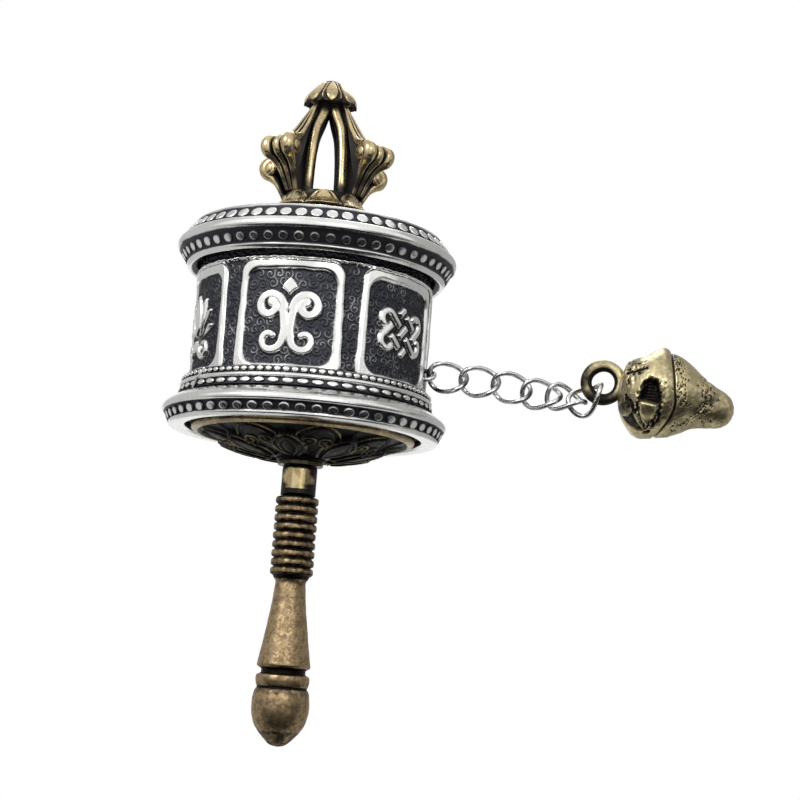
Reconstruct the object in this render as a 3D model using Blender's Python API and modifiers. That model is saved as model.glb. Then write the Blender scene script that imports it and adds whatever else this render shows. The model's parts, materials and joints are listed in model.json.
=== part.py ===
# Hand prayer wheel: a silver drum that spins on a handle, with a chain and a small shell weight.
# The axis of the wheel is +Z, the chain leaves the drum towards +X, and the front panel faces -Y.
# The origin is on the axis, at the middle of the grip that the fingers hold. All sizes are metres.
import math

import bmesh
import bpy
import numpy as np
from mathutils import Matrix, Vector

# Clearances
SEAT = 0.0001            # between pieces that rest on each other
RUN = 0.0001             # radial, between the spindle and what turns on it
SMOOTH_ANGLE = 35        # degrees, edges flatter than this are shaded smooth

# Handle
GRIP_LENGTH = 0.0088     # the taper between the rings and the groove
GRIP_TOP_RADIUS = 0.00157
GRIP_END_RADIUS = 0.0028
NECK_LENGTH = 0.0006     # from the lowest ring to the taper
RING_COUNT = 9
RING_PITCH = 0.00093
RING_RADIUS = 0.00223
RING_GROOVE = 0.00022    # depth of the groove between two rings
GROOVE_HEIGHT = 0.0010
GROOVE_RADIUS = 0.00235
COLLAR_HEIGHT = 0.0012
COLLAR_RADIUS = 0.0028
POMMEL_LENGTH = 0.0060
POMMEL_RADIUS = 0.00298
POMMEL_NECK_RADIUS = 0.00255

# Spindle and its washers
SHAFT_RADIUS = 0.00185   # the bright stretch between rings and drum
SHAFT_LENGTH = 0.0031
TANG_RADIUS = 0.0013     # the end inside the handle
TANG_LENGTH = 0.0075
SPINDLE_RADIUS = 0.0012  # inside the drum
WASHER_THICKNESS = 0.00035
WASHER_RADIUS = 0.0024
BUSH_WALL = 0.0008
BUSH_FLANGE = 0.0006     # how far the upper bush's flange stands out

# Base plate
PLATE_DEPTH = 0.00468    # from the hub's lower face up to the plane of the flange's rim
PLATE_HUB_RADIUS = 0.0026
PLATE_HUB_HEIGHT = 0.0004
PLATE_RIM_GAP = 0.0006    # between the plate's rim and the flange's bore
PLATE_RIM_WIDTH = 0.0007
PLATE_RIM_DROP = 0.00235  # below the plane of the flange's rim
PLATE_DOME_RISE = 0.0005  # how far the dome bulges past a straight cone
PLATE_SEAT_HEIGHT = 0.0014  # the wider step that the drum wall stands on
PLATE_TOP = 0.0002

# Base flange and foot band
FLANGE_REACH = 0.0024    # how far the rim stands out from the wall
FLANGE_EQUATOR = -0.0001
FLANGE_LEDGE = 0.0002    # how far it reaches in under the wall
FLANGE_LIP_REACH = 0.00134
FLANGE_LIP_DROP = 0.00200
FLANGE_TOP_REACH = 0.0008
FLANGE_TOP = 0.00115
BAND_HEIGHT = 0.0020
BAND_TOP_REACH = 0.0004
BAND_RIDGE = 0.0002      # the thin line between the two rows of beads
BAND_RIDGE_HEIGHT = 0.0003

# Drum wall and its six framed panels
SHELL_RADIUS = 0.0127
SHELL_WALL = 0.0012
SHELL_TOP = 0.0166
PANEL_COUNT = 6
PANEL_DEPTH = 0.00045
WINDOW_ANGLE = 42.5      # degrees of the wall that a window takes
WINDOW_LOW = 0.0038
WINDOW_HIGH = 0.0131
WINDOW_CORNER = 0.0014
GAP_ANGLE = 8.0          # degrees between the frames of two panels
GAP_HIGH = 0.0141

# Lid
LID_REACH = 0.00233      # how far the lid stands out from the wall
LID_EQUATOR = 0.0176
LID_LIP_REACH = 0.00085
LID_LIP = 0.0153
LID_LIP_WIDTH = 0.0004
LID_TOP_REACH = 0.0007
LID_TOP = 0.0197
LID_DOME = 0.0013        # how far the dome's middle stands over the upper edge
LID_HUB_RADIUS = 0.0055
LID_LEDGE = 0.0012       # width of the ledge that rests on the wall
LID_PLATE = 0.0014

# Scroll inside the drum
CORE_WALL = 0.0005
SCROLL_ROOM = 0.0017     # between the roll and the wall
SCROLL_HEIGHT = 0.0150

# Finial
FINIAL_BASE_RADIUS = 0.0055
FINIAL_BASE_HEIGHT = 0.0022
FINIAL_TOP_RADIUS = 0.0040
FINIAL_HEIGHT = 0.01565  # from the lower face of the lotus base to the tip of the knob
FINIAL_TURN = 13.2       # degrees, how the finial is set on the spindle
SOCKET_DEPTH = 0.0018
PRONG_COUNT = 4
PRONG_FOOT = 0.0032      # distance of a prong's middle from the axis at the base
PRONG_BELLY = 0.00315    # the same at its widest
PRONG_TIP = 0.0015       # and under the knob
PRONG_DEPTH = 0.0012
PRONG_WIDTH = 0.0018
PRONG_TIP_WIDTH = 0.0016
LEAF_REACH = 0.0075      # distance of the leaf heads from the axis
LEAF_HEIGHT = 0.0061     # of the leaf heads above the lower face
LEAF_RIDGE_REACH = 0.0043  # where the ridge between crown and heads bends
LEAF_RIDGE_HEIGHT = 0.0099
LEAF_TAIL_REACH = 0.0056  # distance of the leaf's tail from the axis
LEAF_TAIL_HEIGHT = 0.0034
LEAF_LOBES = 3           # round heads side by side on one leaf
LEAF_SPREAD = 0.0013     # between two heads
LEAF_HEAD = 0.00066      # radius of a head, seen from the side
LEAF_WIDTH = 0.0011      # of the whole leaf under the knob
LEAF_GROOVE = 0.00045    # depth of the grooves between the heads
CROWN_RADIUS = 0.0021    # where the prongs meet, under the knob
CROWN_HEIGHT = 0.0017
KNOB_RADIUS = 0.00285
KNOB_HEIGHT = 0.0027
KNOB_PETALS = 8
KNOB_FLUTE = 0.00022

# Chain
WIRE = 0.00046
LINK_LENGTH = 0.00404    # between the middles of the wire at the two ends
LINK_WIDTH = 0.00294
LINK_PLAY = 0.00014      # between the wires of two linked ends
CHAIN_HEIGHT = 0.0053    # above the plane of the flange's rim
ANCHOR_STANDOFF = 0.0009  # the staple's outer wire, from the face of the wall
ANCHOR_WIDTH = 0.0015
LINK_DIP = (6, 3, 14, 4, 9, -46)    # degrees below level of each link
LINK_ROLL = (0, 0, 0, -15, -41, -33)  # degrees about its own length of each link
LINK_SLACK = (0, 0, 0, 0.0002, 0.0008, 0.0011)  # how far each link has slid back into the one before

# Weight
BAIL_RADIUS = 0.001785   # to the middle of the ring's tube
BAIL_TUBE = 0.000615
BAIL_SLACK = 0.0005      # how far the ring has slid back along the last link
CONCH_DIP = 10           # degrees below level of the weight's axis
CONCH_LENGTH = 0.0142    # from the ring's centre to the tip
CONCH_RIM = 0.0066       # from the ring's centre to the shoulder's ridge
CONCH_RIM_RADIUS = 0.0046
CONCH_RIM_WIDTH = 0.0008
CONCH_RIM_STEP = 0.00035
CONCH_SLANT = 0.0012     # how far the shoulder runs towards the tip on the mouth's side
CONCH_NECK_RADIUS = 0.0022
CONCH_WHORL = 0.0102     # from the ring's centre to the step behind the first whorl
CONCH_WHORL_RADIUS = 0.0030
CONCH_WHORL_STEP = 0.0002
CONCH_TIP_RADIUS = 0.0018
CONCH_MOUTH = 0.0053     # from the ring's centre to the middle of the mouth
CONCH_MOUTH_LENGTH = 0.0044
CONCH_MOUTH_WIDTH = 0.0020
CONCH_MOUTH_DEPTH = 0.0010

# Facets
HANDLE_STEPS = 20
SMALL_STEPS = 24
DRUM_STEPS = 48
FINIAL_STEPS = 32
LINK_POINTS = 22

# Heights, each from the piece below it, and radii, each from the wall
RINGS_LOW = GRIP_LENGTH / 2 + NECK_LENGTH
RINGS_HIGH = RINGS_LOW + RING_COUNT * RING_PITCH
SHAFT_LOW = RINGS_HIGH + SEAT
SHAFT_HIGH = SHAFT_LOW + SHAFT_LENGTH
HUB_LOW = SHAFT_HIGH + WASHER_THICKNESS + 2 * SEAT
RIM_PLANE = HUB_LOW + PLATE_DEPTH
LID_HUB = RIM_PLANE + LID_TOP + LID_DOME
BUSH_TOP = LID_HUB + SEAT + WASHER_THICKNESS
FINIAL_LOW = BUSH_TOP + WASHER_THICKNESS + 2 * SEAT
BUSH_BORE = SPINDLE_RADIUS + RUN
BUSH_RADIUS = BUSH_BORE + BUSH_WALL
GROUND_RADIUS = SHELL_RADIUS - PANEL_DEPTH
FLANGE_RADIUS = SHELL_RADIUS + FLANGE_REACH
FLANGE_LIP_RADIUS = SHELL_RADIUS + FLANGE_LIP_REACH
FLANGE_TOP_RADIUS = SHELL_RADIUS + FLANGE_TOP_REACH
FLANGE_BORE = SHELL_RADIUS - FLANGE_LEDGE
PLATE_RIM_RADIUS = FLANGE_BORE - PLATE_RIM_GAP
BAND_TOP_RADIUS = SHELL_RADIUS + BAND_TOP_REACH
LID_RADIUS = SHELL_RADIUS + LID_REACH
LID_LIP_RADIUS = SHELL_RADIUS + LID_LIP_REACH
LID_TOP_RADIUS = SHELL_RADIUS + LID_TOP_REACH
SCROLL_RADIUS = SHELL_RADIUS - SHELL_WALL - SCROLL_ROOM
ANCHOR_REACH = SHELL_RADIUS + ANCHOR_STANDOFF
LINK_STEP = LINK_LENGTH - WIRE - LINK_PLAY

SILVER = ("silver", (0.72, 0.72, 0.71), 0.32)
DARK_SILVER = ("dark_silver", (0.42, 0.42, 0.43), 0.4)
BRASS = ("brass", (0.58, 0.44, 0.22), 0.35)
BRONZE = ("bronze", (0.34, 0.24, 0.14), 0.42)
PAPER = ("paper", (0.80, 0.72, 0.55), 0.85)


def clear_scene():
    for obj in list(bpy.data.objects):
        bpy.data.objects.remove(obj, do_unlink=True)


def make_collection(name):
    collection = bpy.data.collections.new(name)
    bpy.context.scene.collection.children.link(collection)
    return collection


def make_material(finish):
    name, colour, roughness = finish
    material = bpy.data.materials.get(name)
    if material:
        return material
    material = bpy.data.materials.new(name)
    material.use_nodes = True
    shader = material.node_tree.nodes["Principled BSDF"]
    shader.inputs["Base Color"].default_value = (*colour, 1.0)
    shader.inputs["Roughness"].default_value = roughness
    shader.inputs["Metallic"].default_value = 0.0 if name == "paper" else 1.0
    return material


def add_object(name, data, collection, finish=None):
    obj = bpy.data.objects.new(name, data)
    collection.objects.link(obj)
    if finish:
        data.materials.append(make_material(finish))
    return obj


def hide_cutter(obj):
    obj.hide_render = True
    obj.display_type = "WIRE"


# A quadratic arc from start to end that is drawn towards the corner, without its first point.
def arc(start, corner, end, count):
    t = np.linspace(0.0, 1.0, count + 1)[1:]
    points = [np.array(p) for p in (start, corner, end)]
    weights = ((1 - t) ** 2, 2 * t * (1 - t), t * t)
    curve = sum(np.outer(weight, point) for weight, point in zip(weights, points))
    return [tuple(p) for p in curve]


# A turned piece: its profile of (radius, height) runs down the outer side, and a ring's profile is closed.
def turned(name, profile, steps, collection, finish=None, closed=False):
    mesh = bpy.data.meshes.new(name)
    count = len(profile)
    edges = [(i, (i + 1) % count) for i in range(count if closed else count - 1)]
    mesh.from_pydata([(r, 0.0, z) for r, z in profile], edges, [])
    obj = add_object(name, mesh, collection, finish)
    screw = obj.modifiers.new("Turn", "SCREW")
    screw.axis = "Z"
    screw.angle = 2 * math.pi
    screw.steps = steps
    screw.render_steps = steps
    screw.use_merge_vertices = True
    screw.merge_threshold = 0.000001
    screw.use_smooth_shade = True
    weld = obj.modifiers.new("Poles", "WELD")
    weld.merge_threshold = 0.000001
    return obj


# A round wire along points, open with flat ends or closed into a loop.
def wire(name, points, radius, collection, finish=None, closed=False):
    curve = bpy.data.curves.new(name, "CURVE")
    curve.dimensions = "3D"
    curve.bevel_depth = radius
    curve.bevel_resolution = 2
    curve.use_fill_caps = not closed
    spline = curve.splines.new("POLY")
    spline.points.add(len(points) - 1)
    for i, point in enumerate(points):
        spline.points[i].co = (*point, 1.0)
    spline.use_cyclic_u = closed
    spline.use_smooth = True
    return add_object(name, curve, collection, finish)


# A flat plate in the XY plane: an outline with its thickness along Z.
def plate(name, outline, thickness, collection):
    curve = bpy.data.curves.new(name, "CURVE")
    curve.dimensions = "2D"
    curve.fill_mode = "BOTH"
    curve.extrude = thickness / 2
    spline = curve.splines.new("POLY")
    spline.points.add(len(outline) - 1)
    for i, (x, y) in enumerate(outline):
        spline.points[i].co = (x, y, 0.0, 1.0)
    spline.use_cyclic_u = True
    return add_object(name, curve, collection)


# The object as a plain welded mesh in world places, which a Boolean can use.
def solid(obj, collection):
    bpy.context.view_layer.update()
    graph = bpy.context.evaluated_depsgraph_get()
    mesh = bpy.data.meshes.new_from_object(obj.evaluated_get(graph), depsgraph=graph)
    mesh.transform(obj.matrix_world)
    shape = bmesh.new()
    shape.from_mesh(mesh)
    bmesh.ops.remove_doubles(shape, verts=shape.verts, dist=0.000001)
    bmesh.ops.recalc_face_normals(shape, faces=shape.faces)
    shape.to_mesh(mesh)
    shape.free()
    name = obj.name
    bpy.data.objects.remove(obj, do_unlink=True)
    return add_object(name, mesh, collection)


# Moves a mesh's points by a rule that takes and gives an array of places.
def reshape(obj, rule):
    mesh = obj.data
    flat = np.empty(len(mesh.vertices) * 3, dtype=np.float32)
    mesh.vertices.foreach_get("co", flat)
    mesh.vertices.foreach_set("co", rule(flat.reshape(-1, 3).astype(float)).astype(np.float32).ravel())
    mesh.update()


def combine(obj, others, operation):
    for other in others:
        boolean = obj.modifiers.new(other.name, "BOOLEAN")
        boolean.operation = operation
        boolean.solver = "EXACT"
        boolean.object = other
        hide_cutter(other)


def smooth(obj):
    obj.data.shade_smooth()
    obj.data.set_sharp_from_angle(angle=math.radians(SMOOTH_ANGLE))


def lift(profile, height):
    return [(r, z + height) for r, z in profile]


# Nine rings over a slim taper, a groove and a collar over an acorn pommel, bored for the spindle's tang.
def make_handle(parts):
    bore = TANG_RADIUS + SEAT
    bore_floor = SHAFT_LOW - TANG_LENGTH - SEAT
    groove = RING_RADIUS - RING_GROOVE
    profile = [(0.0, bore_floor), (bore, bore_floor), (bore, RINGS_HIGH)]
    for i in range(RING_COUNT):
        top = RINGS_HIGH - i * RING_PITCH
        profile += [(groove, top), (RING_RADIUS, top - 0.25 * RING_PITCH)]
        profile += [(RING_RADIUS, top - 0.7 * RING_PITCH)]
    top, end = GRIP_LENGTH / 2, -GRIP_LENGTH / 2
    profile += [(groove, RINGS_LOW), (GRIP_TOP_RADIUS, top)]
    waist = ((GRIP_TOP_RADIUS + GRIP_END_RADIUS) / 2, top / 2)
    profile += arc((GRIP_TOP_RADIUS, top), waist, (GRIP_END_RADIUS, end), 5)
    groove_end = end - GROOVE_HEIGHT
    collar_end = groove_end - COLLAR_HEIGHT
    profile += [(GROOVE_RADIUS, end - 0.35 * GROOVE_HEIGHT), (GROOVE_RADIUS, end - 0.75 * GROOVE_HEIGHT)]
    profile += [(COLLAR_RADIUS, groove_end), (COLLAR_RADIUS, groove_end - 0.8 * COLLAR_HEIGHT)]
    profile += [(POMMEL_NECK_RADIUS, collar_end)]
    belly = collar_end - 0.25 * POMMEL_LENGTH
    tip = collar_end - POMMEL_LENGTH
    profile += arc((POMMEL_NECK_RADIUS, collar_end), (POMMEL_RADIUS, collar_end), (POMMEL_RADIUS, belly), 3)
    profile += arc((POMMEL_RADIUS, belly), (POMMEL_RADIUS, belly - 0.5 * POMMEL_LENGTH), (0.0, tip), 7)
    turned("handle_grip", profile, HANDLE_STEPS, parts, BRONZE)


# A tang in the handle, the thick bright shaft, and the thin spindle that carries the drum and the finial.
def make_spindle(parts):
    top = FINIAL_LOW + SOCKET_DEPTH - SEAT
    profile = [(0.0, top), (SPINDLE_RADIUS, top), (SPINDLE_RADIUS, SHAFT_HIGH), (SHAFT_RADIUS, SHAFT_HIGH)]
    profile += [(SHAFT_RADIUS, SHAFT_LOW), (TANG_RADIUS, SHAFT_LOW)]
    profile += [(TANG_RADIUS, SHAFT_LOW - TANG_LENGTH), (0.0, SHAFT_LOW - TANG_LENGTH)]
    turned("spindle", profile, HANDLE_STEPS, parts, BRASS)


# A plain ring of rectangular section.
def make_sleeve(name, inner, outer, low, high, parts, finish, steps=SMALL_STEPS):
    profile = [(outer, high), (outer, low), (inner, low), (inner, high)]
    turned(name, profile, steps, parts, finish, closed=True)


def make_bearings(parts):
    make_sleeve("lower_washer", BUSH_BORE, WASHER_RADIUS, SHAFT_HIGH + SEAT, HUB_LOW - SEAT, parts, BRASS)
    make_sleeve("lower_bush", BUSH_BORE, BUSH_RADIUS, HUB_LOW, RIM_PLANE + PLATE_TOP, parts, BRASS)
    make_sleeve("top_washer", BUSH_BORE, WASHER_RADIUS, BUSH_TOP + SEAT, FINIAL_LOW - SEAT, parts, BRASS)
    flange = BUSH_RADIUS + BUSH_FLANGE
    low = RIM_PLANE + LID_TOP + LID_DOME - LID_PLATE
    seat = LID_HUB + SEAT
    profile = [(flange, BUSH_TOP), (flange, seat), (BUSH_RADIUS, seat), (BUSH_RADIUS, low)]
    profile += [(BUSH_BORE, low), (BUSH_BORE, BUSH_TOP)]
    turned("upper_bush", profile, SMALL_STEPS, parts, BRASS, closed=True)


# The brass plate under the drum: a wide step inside the flange, a rim, and a low dome down to the hub.
def make_base_plate(parts):
    bore = BUSH_RADIUS + SEAT
    step = FLANGE_BORE - SEAT
    step_low = PLATE_TOP - PLATE_SEAT_HEIGHT
    inner_rim = (PLATE_RIM_RADIUS - PLATE_RIM_WIDTH, -PLATE_RIM_DROP)
    hub_edge = (PLATE_HUB_RADIUS, -PLATE_DEPTH + PLATE_HUB_HEIGHT)
    middle = ((inner_rim[0] + hub_edge[0]) / 2, (inner_rim[1] + hub_edge[1]) / 2 - PLATE_DOME_RISE)
    profile = [(bore, PLATE_TOP), (step, PLATE_TOP), (step, step_low), (PLATE_RIM_RADIUS, step_low)]
    profile += [(PLATE_RIM_RADIUS, -0.85 * PLATE_RIM_DROP), inner_rim]
    profile += arc(inner_rim, middle, hub_edge, 5)
    profile += [(PLATE_HUB_RADIUS, -PLATE_DEPTH), (bore, -PLATE_DEPTH)]
    turned("base_plate", lift(profile, RIM_PLANE), DRUM_STEPS, parts, BRONZE, closed=True)


# The wide rim at the drum's foot, with a counterbore for the wall and a bevel down to its lip.
def make_base_flange(parts):
    seat = SHELL_RADIUS + SEAT
    top = (FLANGE_TOP_RADIUS, FLANGE_TOP)
    equator = (FLANGE_RADIUS, FLANGE_EQUATOR)
    lip = (FLANGE_LIP_RADIUS, -FLANGE_LIP_DROP)
    shoulder = ((FLANGE_TOP_RADIUS + 3 * FLANGE_RADIUS) / 4, 0.7 * FLANGE_TOP)
    profile = [(seat, FLANGE_TOP), top]
    profile += arc(top, shoulder, equator, 4)
    profile += arc(equator, (FLANGE_RADIUS, 0.3 * -FLANGE_LIP_DROP), lip, 4)
    profile += [(FLANGE_BORE, -FLANGE_LIP_DROP), (FLANGE_BORE, PLATE_TOP), (seat, PLATE_TOP)]
    turned("base_flange", lift(profile, RIM_PLANE), DRUM_STEPS, parts, SILVER, closed=True)


# The strip round the foot of the wall, with a thin ridge between its two rows of beads.
def make_foot_band(parts):
    inner = SHELL_RADIUS + SEAT
    low = FLANGE_TOP + SEAT
    high = low + BAND_HEIGHT
    middle = (low + high) / 2
    half = BAND_RIDGE_HEIGHT / 2
    slope = (FLANGE_TOP_RADIUS + BAND_TOP_RADIUS) / 2
    ridge = slope + BAND_RIDGE
    profile = [(inner, high), (BAND_TOP_RADIUS, high), (slope, middle + half), (ridge, middle + half)]
    profile += [(ridge, middle - half), (slope, middle - half), (FLANGE_TOP_RADIUS, low), (inner, low)]
    turned("foot_band", lift(profile, RIM_PLANE), DRUM_STEPS, parts, SILVER, closed=True)


def rounded_rectangle(width, height, corner, count=4):
    outline = []
    for quarter in range(4):
        sign_x = 1 if quarter in (0, 3) else -1
        sign_y = 1 if quarter in (0, 1) else -1
        for i in range(count + 1):
            angle = math.radians(90 * quarter + 90 * i / count)
            x = sign_x * (width / 2 - corner) + corner * math.cos(angle)
            y = sign_y * (height / 2 - corner) + corner * math.sin(angle)
            outline.append((x, y))
    return outline


# A cutter that stands outside the ground of the panels, facing out at an angle about the axis.
def panel_cutter(name, outline, low, high, degrees, cutters):
    reach = 2 * PANEL_DEPTH + SHELL_RADIUS * (1 - math.cos(math.radians(WINDOW_ANGLE / 2)))
    block = plate(name, outline, 2 * reach, cutters)
    turn = Matrix.Rotation(math.radians(degrees), 4, "Z")
    stand = Matrix.Rotation(math.radians(90), 4, "Y") @ Matrix.Rotation(math.radians(90), 4, "Z")
    block.matrix_world = turn @ Matrix.Translation((SHELL_RADIUS, 0.0, RIM_PLANE + (low + high) / 2)) @ stand
    return solid(block, cutters)


# The drum's wall: a tube whose six windows and the gaps between the frames are cut down to the ground.
def make_drum_shell(parts, cutters):
    low, high = RIM_PLANE + PLATE_TOP + SEAT, RIM_PLANE + SHELL_TOP
    inner = SHELL_RADIUS - SHELL_WALL
    make_sleeve("drum_shell", inner, SHELL_RADIUS, low, high, parts, SILVER, DRUM_STEPS)
    shell = parts.objects["drum_shell"]
    window_width = 2 * SHELL_RADIUS * math.sin(math.radians(WINDOW_ANGLE / 2))
    gap_width = 2 * SHELL_RADIUS * math.sin(math.radians(GAP_ANGLE / 2))
    gap_low = FLANGE_TOP + SEAT + BAND_HEIGHT
    window = rounded_rectangle(window_width, WINDOW_HIGH - WINDOW_LOW, WINDOW_CORNER)
    gap = rounded_rectangle(gap_width, GAP_HIGH - gap_low, gap_width / 8, 1)
    core = [(0.0, high), (GROUND_RADIUS, high), (GROUND_RADIUS, low), (0.0, low)]
    turned("panel_ground", core, DRUM_STEPS, cutters)
    ground = solid(cutters.objects["panel_ground"], cutters)
    pitch = 360 / PANEL_COUNT
    for i in range(PANEL_COUNT):
        facing = pitch * (i + 0.5)
        opening = panel_cutter(f"window_{i + 1}", window, WINDOW_LOW, WINDOW_HIGH, facing, cutters)
        slot = panel_cutter(f"gap_{i + 1}", gap, gap_low, GAP_HIGH, pitch * i, cutters)
        combine(opening, [ground], "DIFFERENCE")
        combine(slot, [ground], "DIFFERENCE")
        combine(shell, [opening, slot], "DIFFERENCE")


# The lid: a skirt over the wall, two bevels about the widest line, and a low dome up to the hub.
def make_lid(parts):
    skirt = SHELL_RADIUS + SEAT
    ledge = SHELL_TOP + SEAT
    ceiling = LID_TOP - LID_PLATE
    bore = BUSH_RADIUS + SEAT
    hub = (LID_HUB_RADIUS, LID_TOP + LID_DOME)
    edge = (LID_TOP_RADIUS, LID_TOP)
    equator = (LID_RADIUS, LID_EQUATOR)
    lip = (LID_LIP_RADIUS, LID_LIP + LID_LIP_WIDTH)
    profile = [(bore, LID_TOP + LID_DOME), hub]
    profile += arc(hub, ((hub[0] + edge[0]) / 2, LID_TOP + 0.75 * LID_DOME), edge, 3)
    rise = LID_TOP - LID_EQUATOR
    profile += arc(edge, (0.7 * LID_RADIUS + 0.3 * LID_TOP_RADIUS, LID_EQUATOR + 0.5 * rise), equator, 4)
    drop = LID_EQUATOR - LID_LIP
    profile += arc(equator, (LID_RADIUS, LID_EQUATOR - 0.35 * drop), lip, 4)
    profile += [(LID_LIP_RADIUS, LID_LIP), (skirt, LID_LIP), (skirt, ledge)]
    profile += [(SHELL_RADIUS - LID_LEDGE, ledge), (SHELL_RADIUS - LID_LEDGE, ceiling)]
    profile += [(LID_HUB_RADIUS, LID_TOP + LID_DOME - LID_PLATE), (bore, LID_TOP + LID_DOME - LID_PLATE)]
    turned("lid", lift(profile, RIM_PLANE), DRUM_STEPS, parts, SILVER, closed=True)


# The rolled paper stands on the base plate round a tube that reaches from bush to bush.
def make_scroll(parts):
    low = RIM_PLANE + PLATE_TOP + SEAT
    high = RIM_PLANE + LID_TOP + LID_DOME - LID_PLATE - SEAT
    core = BUSH_BORE + CORE_WALL
    make_sleeve("scroll_core", BUSH_BORE, core, low, high, parts, BRASS)
    make_sleeve("mantra_scroll", core + SEAT, SCROLL_RADIUS, low, low + SCROLL_HEIGHT, parts, PAPER)


# One prong in its radial plane: a crescent band from the lotus base out to its belly and in under the knob.
def make_prong(index, low, high, cutters):
    half = PRONG_DEPTH / 2
    count = 7
    t = np.linspace(0.0, 1.0, count)
    belly = 0.42
    rise = np.sin(0.5 * np.pi * np.clip(t / belly, 0.0, 1.0))
    fall = np.sin(0.5 * np.pi * np.clip((t - belly) / (1.0 - belly), 0.0, 1.0)) ** 2
    middle = PRONG_FOOT + (PRONG_BELLY - PRONG_FOOT) * rise + (PRONG_TIP - PRONG_BELLY) * fall
    height = low + (high - low) * t
    outer = [(r + half, z) for r, z in zip(middle, height)]
    inner = [(r - half, z) for r, z in zip(middle[::-1], height[::-1])]
    band = plate(f"prong_{index + 1}", outer + inner, PRONG_WIDTH, cutters)
    band.matrix_world = Matrix.Rotation(math.radians(90), 4, "X")
    band = solid(band, cutters)

    def narrow(places):
        share = np.clip((places[:, 2] - low) / (high - low), 0.0, 1.0)
        places[:, 1] *= 1.0 + (PRONG_TIP_WIDTH / PRONG_WIDTH - 1.0) * share ** 2
        return places

    reshape(band, narrow)
    return band


# One leaf: its outline in the radial plane runs from the crown out to the heads and down a tail to the base.
# It is carried across the leaf's width, which grows outwards, and drawn in along the grooves between lobes.
def make_leaf(index, cutters):
    top = FINIAL_HEIGHT - 0.75 * KNOB_HEIGHT
    foot = 0.8 * FINIAL_BASE_HEIGHT
    tail = (LEAF_TAIL_REACH, LEAF_TAIL_HEIGHT)
    angles = np.radians(np.linspace(50, -120, 6))
    head = [(LEAF_REACH + LEAF_HEAD * math.cos(a), LEAF_HEIGHT + LEAF_HEAD * math.sin(a)) for a in angles]
    hollow = ((head[-1][0] + 2 * tail[0]) / 3, (2 * head[-1][1] + tail[1]) / 3)
    outline = [(PRONG_BELLY, foot), (PRONG_BELLY, LEAF_HEIGHT), (PRONG_TIP, top), (0.85 * KNOB_RADIUS, top)]
    outline += arc(outline[-1], (LEAF_RIDGE_REACH, LEAF_RIDGE_HEIGHT), head[0], 3)
    outline += head[1:]
    outline += arc(head[-1], hollow, tail, 3)
    outline += [(tail[0] - LEAF_WIDTH / 4, foot)]
    columns = 3 * LEAF_LOBES + 1
    place = np.linspace(-1.0, 1.0, columns)
    groove = 1.0 - np.abs(np.sin(0.5 * np.pi * LEAF_LOBES * (place + 1.0)))
    out, up = (np.repeat(values[:, None], columns, axis=1) for values in np.array(outline).T)
    share = (out - PRONG_TIP) / (LEAF_REACH - PRONG_TIP)
    shrink = 1.0 - LEAF_GROOVE / (LEAF_REACH - PRONG_BELLY) * groove * share
    out = PRONG_BELLY + (out - PRONG_BELLY) * shrink
    up = FINIAL_LOW + LEAF_HEIGHT + (up - LEAF_HEIGHT) * shrink
    share = (out - PRONG_TIP) / (LEAF_REACH - PRONG_TIP)
    across = place * (LEAF_WIDTH + (LEAF_LOBES * LEAF_SPREAD - LEAF_WIDTH) * share) / 2
    number = np.arange(out.size).reshape(out.shape)
    after = np.roll(number, -1, axis=0)
    faces = np.stack([number[:, :-1], number[:, 1:], after[:, 1:], after[:, :-1]], axis=-1).reshape(-1, 4)
    sides = [number[:, 0].tolist(), number[::-1, -1].tolist()]
    mesh = bpy.data.meshes.new(f"leaf_{index + 1}")
    mesh.from_pydata(np.stack([out, across, up], axis=-1).reshape(-1, 3).tolist(), [], faces.tolist() + sides)
    return solid(add_object(f"leaf_{index + 1}", mesh, cutters), cutters)


# The fluted knob: a turned bud whose skirt hangs over the crown in petals.
def make_knob(tip, cutters):
    low = tip - KNOB_HEIGHT
    profile = [(0.0, tip)]
    shoulder = (0.55 * KNOB_RADIUS, tip - 0.1 * KNOB_HEIGHT)
    profile += arc((0.0, tip), shoulder, (KNOB_RADIUS, tip - 0.86 * KNOB_HEIGHT), 5)
    profile += [(0.9 * KNOB_RADIUS, low), (0.0, low)]
    turned("knob", profile, 4 * KNOB_PETALS, cutters)
    knob = solid(cutters.objects["knob"], cutters)

    def flute(places):
        radius = np.hypot(places[:, 0], places[:, 1])
        angle = np.arctan2(places[:, 1], places[:, 0])
        wave = KNOB_FLUTE * np.cos(KNOB_PETALS * angle) * radius / KNOB_RADIUS
        scale = 1.0 + wave / np.maximum(radius, KNOB_FLUTE)
        places[:, :2] *= scale[:, None]
        return places

    reshape(knob, flute)
    return knob


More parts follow.
